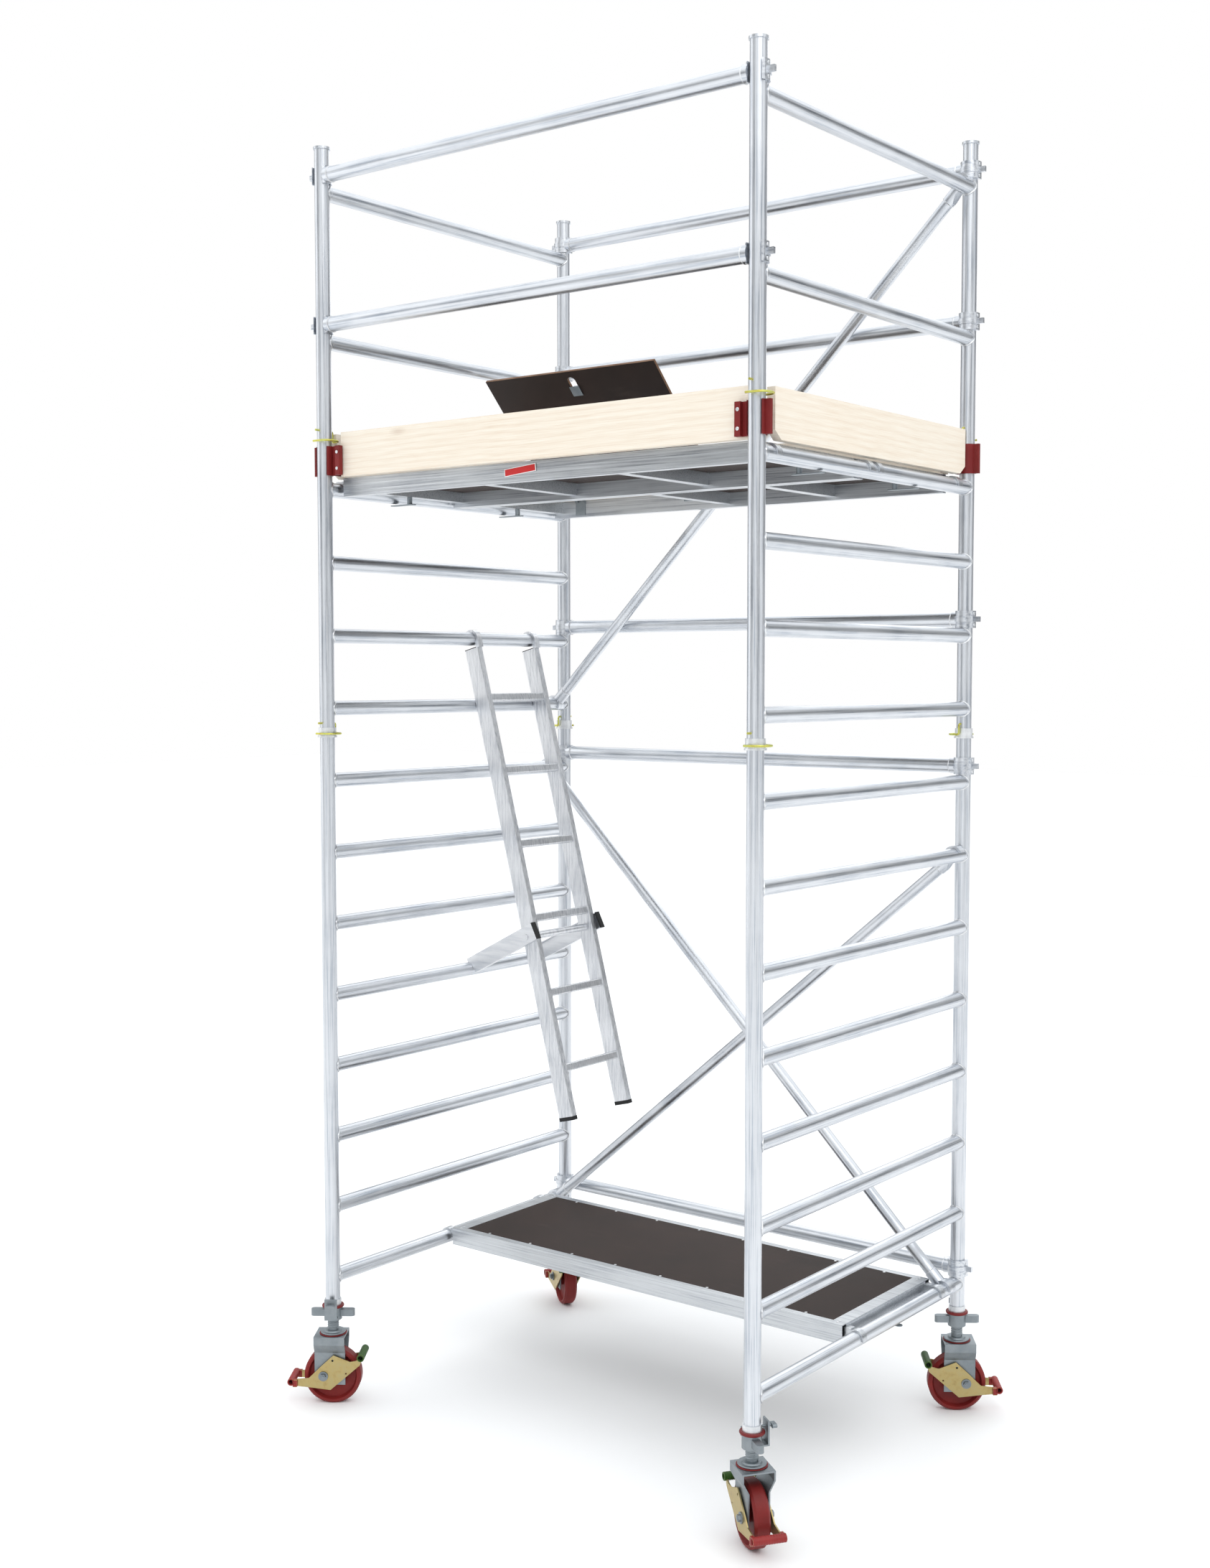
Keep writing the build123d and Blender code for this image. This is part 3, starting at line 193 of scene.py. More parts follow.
def drawn_metal(name, light, dark, scales, mask=None, rough=(0.26, 0.46)):
    """Mill-finish metal with streaks along its length, stains and fine scratches."""
    g = Graph(name)
    streak = g.noise(g.stretched(scales[0]), 1.0, 4.0, 0.6)
    if mask is not None:
        other = g.noise(g.stretched(scales[1]), 1.0, 4.0, 0.6)
        away = g.math("ABSOLUTE", g.split()[mask[0]])
        inside = g.math("GREATER_THAN", away, mask[1])
        blend = g.node("ShaderNodeMix", data_type="FLOAT")
        g.link(inside, blend.inputs[0])
        g.link(other, blend.inputs[2])
        g.link(streak, blend.inputs[3])
        streak = blend.outputs[0]
    stain = g.noise(g.coords, 5.0, 5.0, 0.6)
    fine = g.noise(g.coords, 160.0, 2.0, 0.5)
    tone = g.math("ADD", g.math("MULTIPLY", streak, 0.75), g.math("MULTIPLY", stain, 0.25))
    bright = tuple(min(1, c * 1.12) for c in light)
    colour = g.ramp(tone, ((0.34, dark), (0.50, light), (0.66, bright)))
    grain = g.math("ADD", streak, g.math("MULTIPLY", fine, 0.3))
    roughness = g.range(grain, 0.35, 0.95, rough[0], rough[1])
    return g.finish(colour, roughness, g.bump(grain, 0.10, 0.0004), metallic=1.0)


def cast_metal(name, light, dark, rough=(0.34, 0.55)):
    """Cast or plated metal with a fine skin and duller patches."""
    g = Graph(name)
    patch = g.noise(g.coords, 14.0, 5.0, 0.6)
    skin = g.noise(g.coords, 420.0, 3.0, 0.6)
    colour = g.ramp(patch, ((0.32, dark), (0.62, light)))
    roughness = g.range(g.math("ADD", patch, g.math("MULTIPLY", skin, 0.3)), 0.4, 0.9, rough[0], rough[1])
    return g.finish(colour, roughness, g.bump(skin, 0.14, 0.0004), metallic=1.0)


def yellow_zinc(name, stops):
    """Yellow chromate with the bloom of the passivated layer."""
    g = Graph(name)
    bloom = g.noise(g.coords, 38.0, 4.0, 0.6)
    colour = g.ramp(bloom, stops)
    skin = g.noise(g.coords, 300.0, 2.0, 0.5)
    return g.finish(colour, g.range(bloom, 0.3, 0.7, 0.28, 0.46), g.bump(skin, 0.08, 0.0003), metallic=0.85)


def moulded(name, colour, dark, rough=(0.34, 0.52), scale=260.0, bump=0.12):
    """Moulded or powder-coated surface with a fine grain and scuffs."""
    g = Graph(name)
    cloud = g.noise(g.coords, 9.0, 5.0, 0.6)
    grain = g.noise(g.coords, scale, 3.0, 0.6)
    shade = g.ramp(cloud, ((0.30, dark), (0.65, colour)))
    rub = g.range(g.math("ADD", cloud, g.math("MULTIPLY", grain, 0.35)), 0.4, 0.95, rough[0], rough[1])
    return g.finish(shade, rub, g.bump(grain, bump, 0.0005), Specular_IOR_Level=0.28)


def spruce(name):
    """Pale planed softwood with horizontal grain, growth bands and a few small knots."""
    g = Graph(name)
    warp = g.noise(g.stretched((1.1, 1.1, 7.0)), 1.0, 2.0, 0.5)
    parts = g.split()
    band = g.math("SINE", g.math("ADD", g.math("MULTIPLY", parts[2], 300.0), g.math("MULTIPLY", warp, 22.0)))
    fibre = g.noise(g.stretched((9.0, 9.0, 420.0)), 1.0, 3.0, 0.6)
    tone = g.math("ADD", g.math("MULTIPLY", band, 0.045), g.math("MULTIPLY", fibre, 0.55))
    woods = ((0.12, (0.74, 0.62, 0.49)), (0.27, (0.82, 0.73, 0.61)), (0.42, (0.86, 0.80, 0.70)))
    colour = g.ramp(tone, woods)
    cell = g.node("ShaderNodeTexVoronoi")
    cell.inputs["Scale"].default_value = 1.0
    g.link(g.stretched((2.3, 2.3, 6.5), (0.3, 0.1, 0.4)), cell.inputs["Vector"])
    knot = g.range(cell.outputs["Distance"], 0.02, 0.10, 1.0, 0.0)
    colour = g.mix(g.math("MULTIPLY", knot, 0.30), colour, (0.36, 0.20, 0.11))
    patch = g.noise(g.coords, 2.5, 3.0, 0.5)
    colour = g.mix(g.range(patch, 0.35, 0.7, 0.0, 0.22), colour, (0.85, 0.80, 0.71))
    height = g.math("ADD", fibre, g.math("MULTIPLY", band, 0.12))
    return g.finish(colour, g.range(fibre, 0.3, 0.7, 0.50, 0.68), g.bump(height, 0.12, 0.0005))


def faced_plywood(name, slope):
    """Dark film-faced plywood with a pressed diagonal mesh and brown edge plies."""
    g = Graph(name)
    parts = g.split()
    along = g.math("MULTIPLY", parts[0], 880.0)
    across = g.math("MULTIPLY", parts[1], 880.0 / math.cos(slope))
    first = g.math("SINE", g.math("ADD", along, across))
    second = g.math("SINE", g.math("SUBTRACT", along, across))
    mesh = g.math("MAXIMUM", g.math("ABSOLUTE", first), g.math("ABSOLUTE", second))
    cloud = g.noise(g.coords, 3.5, 5.0, 0.6)
    scuff = g.noise(g.stretched((6.0, 30.0, 30.0)), 1.0, 4.0, 0.6)
    film = g.ramp(cloud, ((0.3, (0.014, 0.008, 0.006)), (0.7, (0.030, 0.016, 0.012))))
    film = g.mix(g.range(mesh, 0.86, 1.0, 0.0, 0.45), film, (0.060, 0.036, 0.028))
    film = g.mix(g.range(scuff, 0.60, 0.78, 0.0, 0.16), film, (0.10, 0.07, 0.06))
    normal = g.node("ShaderNodeNewGeometry").outputs["True Normal"]
    facing = g.node("ShaderNodeVectorMath", operation="DOT_PRODUCT")
    g.link(normal, facing.inputs[0])
    facing.inputs[1].default_value = (0.0, math.sin(slope), math.cos(slope))
    edge = g.math("LESS_THAN", g.math("ABSOLUTE", facing.outputs["Value"]), 0.5)
    plies = g.noise(g.stretched((14.0, 520.0, 520.0)), 1.0, 2.0, 0.5)
    wood = g.ramp(plies, ((0.35, (0.10, 0.05, 0.03)), (0.6, (0.26, 0.15, 0.09))))
    colour = g.mix(edge, film, wood)
    roughness = g.range(mesh, 0.5, 1.0, 0.74, 0.60)
    return g.finish(colour, roughness, g.bump(mesh, 0.35, 0.0007), Specular_IOR_Level=0.28)


METAL_LIGHT = (0.66, 0.68, 0.71)
METAL_DARK = (0.38, 0.42, 0.48)
CLIP_BLOOM = (
    (0.30, (0.42, 0.36, 0.07)),
    (0.47, (0.60, 0.56, 0.12)),
    (0.60, (0.54, 0.60, 0.18)),
    (0.74, (0.66, 0.50, 0.16)),
)
PLATE_BLOOM = (
    (0.30, (0.38, 0.28, 0.115)),
    (0.47, (0.46, 0.36, 0.155)),
    (0.62, (0.45, 0.37, 0.18)),
    (0.76, (0.49, 0.35, 0.17)),
)
LADDER_LIGHT = (0.70, 0.71, 0.73)
ZINC_LIGHT = (0.32, 0.35, 0.37)
ZINC_DARK = (0.22, 0.25, 0.27)
WHITE_LIGHT = (0.80, 0.80, 0.80)
WHITE_DARK = (0.74, 0.74, 0.74)
RUNG_START = HALF_WIDE - 0.027
LONG = {"x": (3.0, 260.0, 260.0), "y": (260.0, 3.0, 260.0), "z": (260.0, 260.0, 3.0)}
SURFACES = {
    "frame_tube": drawn_metal(
        "frame_tube", METAL_LIGHT, METAL_DARK, (LONG["z"], LONG["y"]), (1, RUNG_START)
    ),
    "rail_tube": drawn_metal("rail_tube", METAL_LIGHT, METAL_DARK, ((2.0, 120.0, 120.0),)),
    "brace_tube": drawn_metal("brace_tube", METAL_LIGHT, (0.48, 0.51, 0.56), ((7.0, 90.0, 7.0),)),
    "strut_aluminium": drawn_metal(
        "strut_aluminium", LADDER_LIGHT, (0.52, 0.54, 0.58), ((5.0, 60.0, 40.0),)
    ),
    "deck_aluminium": drawn_metal("deck_aluminium", (0.58, 0.60, 0.62), (0.36, 0.38, 0.42), (LONG["x"],)),
    "ladder_aluminium": drawn_metal(
        "ladder_aluminium", LADDER_LIGHT, (0.46, 0.48, 0.52), ((160.0, 260.0, 8.0),)
    ),
    "cast_aluminium": cast_metal("cast_aluminium", (0.80, 0.81, 0.82), (0.58, 0.60, 0.62)),
    "weld": cast_metal("weld", (0.82, 0.83, 0.84), (0.55, 0.56, 0.58), (0.3, 0.5)),
    "zinc_plated_steel": cast_metal("zinc_plated_steel", ZINC_LIGHT, ZINC_DARK, (0.42, 0.60)),
    "yellow_zinc_steel": yellow_zinc("yellow_zinc_steel", CLIP_BLOOM),
    "brake_plate": yellow_zinc("brake_plate", PLATE_BLOOM),
    "red_plastic": moulded("red_plastic", (0.20, 0.017, 0.017), (0.14, 0.012, 0.012)),
    "red_wheel": moulded("red_wheel", (0.23, 0.018, 0.016), (0.15, 0.012, 0.011), (0.44, 0.60), 190.0),
    "red_grip": moulded("red_grip", (0.30, 0.030, 0.028), (0.22, 0.022, 0.020)),
    "green_grip": moulded("green_grip", (0.032, 0.090, 0.012), (0.022, 0.062, 0.009)),
    "black_plastic": moulded("black_plastic", (0.016, 0.016, 0.017), (0.010, 0.010, 0.011), (0.42, 0.60)),
    "red_label": moulded("red_label", (0.55, 0.03, 0.03), (0.48, 0.025, 0.025), (0.28, 0.36), 500.0, 0.03),
    "label_border": moulded("label_border", WHITE_LIGHT, WHITE_DARK, (0.30, 0.38), 500.0, 0.03),
    "spruce_board": spruce("spruce_board"),
    "deck_panels": faced_plywood("deck_panels", 0.0),
    "hatch_leaf": faced_plywood("hatch_leaf", HATCH_OPEN),
}
BY_NODE = {
    "front_guard_rails": "rail_tube",
    "back_guard_rails": "rail_tube",
    "horizontal_braces": "rail_tube",
    "diagonal_braces": "brace_tube",
    "ladder_strut": "strut_aluminium",
    "deck_panels": "deck_panels",
    "hatch_leaf": "hatch_leaf",
    "joint_spigots": "frame_tube",
    **{"caster_brake_" + corner: "brake_plate" for corner in CORNERS},
}


def set_material(thing, key):
    thing.data.materials.clear()
    thing.data.materials.append(SURFACES[key])


for node, thing in frame["nodes"].items():
    slot = SLOT_OF[node]
    key = BY_NODE.get(node, "frame_tube" if slot == "aluminium_tube" else slot)
    set_material(thing, key)


# ------------------------------------------------------------------ mesh tools
class Builder:
    """Collects shapes into one mesh and turns it into a piece that rides on a body."""

    def __init__(self):
        self.verts = []
        self.faces = []

    def grid(self, rows, close_rows=False, close_columns=True, caps=False):
        """Joins rows of points into quads."""
        start = len(self.verts)
        count = len(rows[0])
        for row in rows:
            self.verts.extend(row)
        last = len(rows) if close_rows else len(rows) - 1
        wide = count if close_columns else count - 1
        for i in range(last):
            j = (i + 1) % len(rows)
            for k in range(wide):
                m = (k + 1) % count
                near = start + i * count
                far = start + j * count
                self.faces.append((near + k, near + m, far + m, far + k))
        if caps:
            self.faces.append(tuple(start + k for k in reversed(range(count))))
            self.faces.append(tuple(start + (len(rows) - 1) * count + k for k in range(count)))

    def tube_round(self, points, radius, segments=8, wobble=0.0):
        """A closed loop of round section through the points."""
        rows = []
        total = len(points)
        centre = sum((Vector(p) for p in points), Vector()) / total
        for i, point in enumerate(points):
            here = Vector(point)
            ahead = Vector(points[(i + 1) % total]) - Vector(points[i - 1])
            ahead.normalize()
            side = (here - centre)
            side = (side - ahead * side.dot(ahead)).normalized()
            up = ahead.cross(side)
            size = radius * (1 + wobble * random.uniform(-1, 1))
            ring = []
            for k in range(segments):
                angle = 2 * math.pi * k / segments
                ring.append(here + side * (size * math.cos(angle)) + up * (size * math.sin(angle)))
            rows.append(ring)
        self.grid(rows, close_rows=True)

    def lathe(self, base, axis, profile, segments=24):
        """Turns a profile of (radius, height) about an axis; a zero radius closes an end."""
        axis = Vector(axis).normalized()
        side = axis.orthogonal().normalized()
        other = axis.cross(side)
        rows = []
        for radius, height in profile:
            radius = max(radius, SMALLEST)
            middle = Vector(base) + axis * height
            ring = []
            for k in range(segments):
                angle = 2 * math.pi * k / segments
                ring.append(middle + side * (radius * math.cos(angle)) + other * (radius * math.sin(angle)))
            rows.append(ring)
        self.grid(rows, caps=True)

    def bar(self, start, end, across, size, soft=0.0006):
        """A bar with eased edges from start to end, size given as (along across, square to it)."""
        start = Vector(start)
        end = Vector(end)
        run = (end - start).normalized()
        first = Vector(across).normalized()
        second = run.cross(first).normalized()
        w, h = size[0] / 2, size[1] / 2
        s = min(soft, w * 0.45, h * 0.45)
        upper = ((w - s, h), (-w + s, h), (-w, h - s))
        lower = ((-w, -h + s), (-w + s, -h), (w - s, -h), (w, -h + s), (w, h - s))
        outline = upper + lower
        small = 1 - s / max(w, h)
        rows = []
        for place, shrink in ((start, small), (start + run * s, 1), (end - run * s, 1), (end, small)):
            rows.append([place + first * (a * shrink) + second * (b * shrink) for a, b in outline])
        self.grid(rows, caps=True)

    def piece(self, name, body, surface, smooth=True):
        mesh = bpy.data.meshes.new(name)
        mesh.from_pydata([tuple(v) for v in self.verts], [], self.faces)
        work = bmesh.new()
        work.from_mesh(mesh)
        bmesh.ops.recalc_face_normals(work, faces=work.faces)
        work.to_mesh(mesh)
        work.free()
        thing = bpy.data.objects.new(name, mesh)
        bpy.context.scene.collection.objects.link(thing)
        mesh.materials.append(SURFACES[surface])
        if smooth:
            mesh.shade_smooth()
            mesh.set_sharp_from_angle(angle=math.radians(32))
        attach(thing, body)
        return thing


def rung_height(step):
    return LOWEST_RUNG + RUNG_PITCH * step


# ------------------------------------------------------------------ welds
def rung_weld_loop(side, way, height, count=36):
    """The curved line on which a rung meets its post."""
    rung = RUNG_R + BEAD
    post = POST_R + BEAD
    loop = []
    for k in range(count):
        angle = 2 * math.pi * k / count
        off = rung * math.cos(angle)
        deep = math.sqrt(max(0.0, post ** 2 - min(off * off, POST_R ** 2)))
        y = way * (HALF_WIDE - deep - WELD_SINK)
        loop.append((side * HALF_LONG + off, y, height + rung * math.sin(angle)))
    return loop


FRAME_RUNGS = {"lower": range(0, 8), "middle": range(8, 12), "guard": (13, 15)}
for level, steps in FRAME_RUNGS.items():
    for side_name, side in (("left", -1), ("right", 1)):
        made = Builder()
        for step in steps:
            for way in (-1, 1):
                made.tube_round(rung_weld_loop(side, way, rung_height(step)), 0.0030, 8, 0.16)
        made.piece("welds_" + level + "_" + side_name, "tower", "weld")


def ring_loop(centre, axis, radius, count=30):
    axis = Vector(axis).normalized()
    side = axis.orthogonal().normalized()
    other = axis.cross(side)
    points = []
    for k in range(count):
        angle = 2 * math.pi * k / count
        points.append(Vector(centre) + side * (radius * math.cos(angle)) + other * (radius * math.sin(angle)))
    return points


CLAW_RIVET = ((0.0052, 0), (0.0052, 0.0026), (0.0042, 0.0038), (0, 0.0042))
CLAW_RIVET_RISES = (-0.019, 0.019)
CLAW_RIVET_SINK = 0.002
RAILS = (
    ("front_guard_rails", -HALF_WIDE, (13, 15)),
    ("back_guard_rails", HALF_WIDE, (13, 15)),
    ("horizontal_braces", HALF_WIDE, (0, 7, 9)),
)
for name, y, steps in RAILS:
    made = Builder()
    rivets = Builder()
    for step in steps:
        z = rung_height(step) + RAIL_RISE
        for side in (-1, 1):
            end = side * (HALF_LONG - CLAW_R - RAIL_SOCKET)
            made.tube_round(ring_loop((end, y, z), (1, 0, 0), 0.0252), 0.0026, 8, 0.14)
            face = side * (HALF_LONG + CLAW_R)
            for rise in CLAW_RIVET_RISES:
                base = (face - side * CLAW_RIVET_SINK, y, z + rise)
                rivets.lathe(base, (side, 0, 0), CLAW_RIVET, 16)
    made.piece(name + "_welds", "tower", "weld")
    rivets.piece(name + "_rivets", "tower", "cast_aluminium")

made = Builder()
for y, low, high in ((OUTER_BRACE_Y, 0, 6), (INNER_BRACE_Y, 7, 0), (OUTER_BRACE_Y, 8, 15)):
    left = Vector((-HALF_LONG, y, rung_height(low)))
    right = Vector((HALF_LONG, y, rung_height(high)))
    run = (right - left).normalized()
    for place in (left + run * SOCKET_END, right - run * SOCKET_END):
        made.tube_round(ring_loop(place, run, 0.0206), 0.0022, 8, 0.14)
made.piece("diagonal_brace_welds", "tower", "weld")


# ------------------------------------------------------------------ threaded spindles, wheels and pedals
def local_frame(corner):
    x, y = CORNERS[corner]
    angle = TURN[corner]
    forward = Vector((math.cos(angle), math.sin(angle), 0))
    side = Vector((-math.sin(angle), math.cos(angle), 0))
    return Vector((x, y, 0)), forward, side


def thread(made, centre, bottom, top, crest, root, pitch, segments=28):
    """A screw thread as one continuous wound surface."""
    turns = (top - bottom) / pitch
    shape = ((0.0, root), (0.22, crest), (0.5, crest), (0.72, root), (1.0, root))
    rows = []
    steps = int(turns * segments)
    for i in range(steps + 1):
        angle = 2 * math.pi * i / segments
        base = bottom + pitch * i / segments
        row = []
        for part, radius in shape:
            place = Vector((radius * math.cos(angle), radius * math.sin(angle), base + pitch * part))
            row.append(centre + place)
        rows.append(row)
    made.grid(rows, close_columns=False)


# Profiles are (radius, height): the spindle from its king pin's head up to its top, and the seal.
SPINDLE_PROFILE = (
    (0.006, 0.2366),
    (0.015, 0.2366),
    (0.015, 0.2406),
    (0.008, 0.2406),
    (0.008, 0.2494),
    (0.0425, 0.2494),
    (0.044, 0.2509),
    (0.044, 0.2529),
    (0.0425, 0.2544),
    (0.031, 0.2544),
    (0.030, 0.2554),
    (0.0285, 0.2594),
    (0.0186, 0.2600),
    (0.0186, 0.8195),
    (0.014, 0.82),
)
SEAL_PROFILE = (
    (0.009, 0.2464),
    (0.0468, 0.2464),
    (0.048, 0.2474),
    (0.048, 0.2484),
    (0.0468, 0.2494),
    (0.009, 0.2494),
)
AXLE_END = ((0.0, 0.0), (0.0066, 0.0), (0.0066, 0.0012), (0.0058, 0.0018), (0.0, 0.0019))
THREAD_BOTTOM = 0.2605
THREAD_TOP = 0.812
THREAD_CREST = 0.0199
THREAD_ROOT = 0.0184
THREAD_PITCH = 0.008
FORK_OUTSIDE = 0.0345
GRIP_HALF = 0.0522
GRIP_BORE = 0.0088
GRIP_EDGE = 0.0122
GRIP_OUTSIDE = 0.0131
GRIP_GROOVE = 0.0127
GRIP_GROOVES = 12
GRIP_GROOVE_PITCH = 0.008
GRIPS = (
    ("red", 0.142, 0.084, "red_grip", "red_plastic"),
    ("green", -0.104, 0.172, "green_grip", "black_plastic"),
)


def grip_outline():
    """The grooved section of a pedal sleeve as (radius, place along it)."""
    length = 2 * GRIP_HALF
    outline = [(GRIP_BORE, 0.0), (GRIP_EDGE, 0.0), (GRIP_OUTSIDE, 0.0012)]
    for k in range(GRIP_GROOVES):
        at = (k + 1) * GRIP_GROOVE_PITCH
        outline += [(GRIP_OUTSIDE, at - 0.0016), (GRIP_GROOVE, at - 0.0008)]
        outline += [(GRIP_GROOVE, at + 0.0008), (GRIP_OUTSIDE, at + 0.0016)]
    outline += [(GRIP_OUTSIDE, length - 0.0012), (GRIP_EDGE, length)]
    return outline + [(GRIP_BORE, length), (GRIP_BORE, 0.0)]


def make_spindle(corner):
    centre = local_frame(corner)[0]
    spindle = Builder()
    spindle.lathe(centre, (0, 0, 1), SPINDLE_PROFILE, 40)
    thread(spindle, centre, THREAD_BOTTOM, THREAD_TOP, THREAD_CREST, THREAD_ROOT, THREAD_PITCH)
    seal = Builder()
    seal.lathe(centre, (0, 0, 1), SEAL_PROFILE, 40)
    rod = spindle.piece("spindle_" + corner, "spindle_" + corner, "zinc_plated_steel")
    seal.piece("swivel_seal_" + corner, "spindle_" + corner, "red_plastic")
    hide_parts("caster_spindle_" + corner)


def make_grip(corner, name, reach, height, surface, slot, segments=28):
    """A pedal sleeve over its tube; the red one has a block at each plate too."""
    centre, forward, side = local_frame(corner)
    grip = Builder()
    start = centre + forward * reach + Vector((0, 0, height)) - side * GRIP_HALF
    rows = []
    for radius, along in grip_outline():
        row = []
        for k in range(segments):
            angle = 2 * math.pi * k / segments
            rise = Vector((0, 0, radius * math.sin(angle)))
            row.append(start + side * along + forward * (radius * math.cos(angle)) + rise)
        rows.append(row)
    grip.grid(rows)
    if name == "red":
        for way in (-1, 1):
            near = centre + side * (way * 0.0393) + forward * 0.1285 + Vector((0, 0, 0.080))
            grip.bar(near, near + side * (way * 0.0129), forward, (0.0166, 0.0268), 0.002)
    grip.piece("brake_pedal_" + name + "_" + corner, "brake_" + corner, surface)


def make_axle_ends(corner):
    centre, forward, side = local_frame(corner)
    ends = Builder()
    for way in (-1, 1):
        base = centre + Vector((0, 0, WHEEL_R)) + side * (way * FORK_OUTSIDE)
        ends.lathe(base, side * way, AXLE_END, 24)
    ends.piece("axle_ends_" + corner, "fork_" + corner, "zinc_plated_steel")


for corner in CORNERS:
    make_spindle(corner)
    for grip_settings in GRIPS:
        make_grip(corner, *grip_settings)
    make_axle_ends(corner)


# ------------------------------------------------------------------ ladder and deck ribs
DOWN = Vector((math.sin(LADDER_LEAN), 0, -math.cos(LADDER_LEAN)))
OUT = Vector((math.cos(LADDER_LEAN), 0, math.sin(LADDER_LEAN)))
HOOK = Vector((-HALF_LONG, 0, rung_height(9)))
STILE_HALF = 0.0135
STILE_TOP = 0.040
STILE_RUN = 1.774
SIDE_RIB_OFFS = (-0.029, -0.021, -0.0055, 0.010, 0.018)
EDGE_RIB_OFFS = (-0.038, 0.027)
EDGE_RIB_PLACES = (-0.007, 0.0, 0.007)
LADDER_RUNGS = 6
LADDER_RUNG_FIRST = 0.230
LADDER_RUNG_PITCH = 0.282
LADDER_RUNG_HALF = 0.014
LADDER_RUNG_SIDE = 0.1158
LADDER_RUNG_LENGTH = 0.3024
LADDER_RUNG_RIBS = (0.001, 0.008, 0.015)
ribs = Builder()
for y in STILE_PLACES:
    for way in (-1, 1):
        for off in SIDE_RIB_OFFS:
            start = HOOK + DOWN * STILE_TOP + OUT * off + Vector((0, y + way * STILE_HALF, 0))
            ribs.bar(start, start + DOWN * STILE_RUN, (0, 1, 0), (0.0008, 0.0028), 0.0003)
    for off in EDGE_RIB_OFFS:
        for across in EDGE_RIB_PLACES:
            start = HOOK + DOWN * STILE_TOP + OUT * off + Vector((0, y + across, 0))
            ribs.bar(start, start + DOWN * STILE_RUN, OUT, (0.0010, 0.0022), 0.0003)
for count in range(LADDER_RUNGS):
    along = LADDER_RUNG_FIRST + LADDER_RUNG_PITCH * count
    for off in LADDER_RUNG_RIBS:
        for way in (-1, 1):
            down = DOWN * (along + way * LADDER_RUNG_HALF)
            start = HOOK + down + OUT * off + Vector((0, LADDER_RUNG_SIDE, 0))
            ribs.bar(start, start + Vector((0, LADDER_RUNG_LENGTH, 0)), OUT, (0.0024, 0.0012), 0.0004)
ribs.piece("ladder_ribs", "ladder", "ladder_aluminium")

# The closed hatch leaf lies on the deck, so nothing stands up under it.
LEAF_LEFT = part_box("hatch_leaf")[0][0] - 0.006
LEAF_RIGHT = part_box("hatch_leaf")[1][0] + 0.006
LEAF_FRONT = HATCH_AXIS_Y - HATCH_REACH - 0.012


def under_leaf(x, y):
    return LEAF_LEFT < x < LEAF_RIGHT and LEAF_FRONT < y < HATCH_AXIS_Y


DECKS = (
    ("front", -0.594, UPPER_DECK_TOP),
    ("back", -0.011, UPPER_DECK_TOP),
    ("lower", -0.0685, LOWER_DECK_TOP),
)
RIB_END = 0.8478
SIDE_RIB_DROPS = (0.006, 0.024, 0.044, 0.057)
END_RIB_DROPS = (0.008, 0.036)
TOP_RIB_INSETS = (0.0035, 0.0245)
HOOK_RIVET_X = 0.820
HOOK_RIVET_INSET = 0.026
HOOK_RIVET_OFF = 0.008
HOOK_RIVET = ((0.0046, 0), (0.0046, 0.0010), (0.0030, 0.0020), (0, 0.0022))
PANEL_RIVET_X = 0.79
PANEL_RIVET_INSET = 0.034
PANEL_RIVET = ((0.0050, 0), (0.0050, 0.0004), (0.0032, 0.0009), (0, 0.0010))


def make_deck_ribs(name, front, top):
    """The pressed lines along the deck's side and end beams."""
    back = front + DECK_WIDTH
    trim = Builder()
    for face in (front, back):
        for drop in SIDE_RIB_DROPS:
            z = top - drop
            trim.bar((-RIB_END, face, z), (RIB_END, face, z), (0, 1, 0), (0.0016, 0.0036), 0.0005)
    near, far = TOP_RIB_INSETS
    for edge in (front + near, front + far, back - far, back - near):
        start = LEAF_RIGHT if name != "lower" and under_leaf(-0.5, edge) else -RIB_END
        trim.bar((start, edge, top), (RIB_END, edge, top), (0, 0, 1), (0.0008, 0.0028), 0.0003)
    for side in (-1, 1):
        for drop in END_RIB_DROPS:
            first = (side * DECK_END, front + 0.029, top - drop)
            last = (side * DECK_END, back - 0.029, top - drop)
            trim.bar(first, last, (1, 0, 0), (0.0014, 0.0034), 0.0005)
    trim.piece(name + "_deck_ribs", "tower", "deck_aluminium")


def make_deck_rivets(name, front, top):
    """The hook rivets at the corners and the panel rivets along both sides."""
    back = front + DECK_WIDTH
    places = []
    for side in (-1, 1):
        for y in (front + HOOK_RIVET_INSET, back - HOOK_RIVET_INSET):
            for off in (-HOOK_RIVET_OFF, HOOK_RIVET_OFF):
                places.append((side * HOOK_RIVET_X, y + off, HOOK_RIVET))
    left = 0.0 if name == "back" else -PANEL_RIVET_X
    count = 4 if name == "back" else 8
    for y in (front + PANEL_RIVET_INSET, back - PANEL_RIVET_INSET):
        for k in range(count):
            places.append((left + (PANEL_RIVET_X - left) * (k + 0.5) / count, y, PANEL_RIVET))
    heads = Builder()
    for x, y, profile in places:
        if name != "lower" and under_leaf(x, y):
            continue
        heads.lathe((x, y, top), (0, 0, 1), profile, 16)
    heads.piece(name + "_deck_rivets", "tower", "cast_aluminium")


for deck in DECKS:
    make_deck_ribs(*deck)
    make_deck_rivets(*deck)


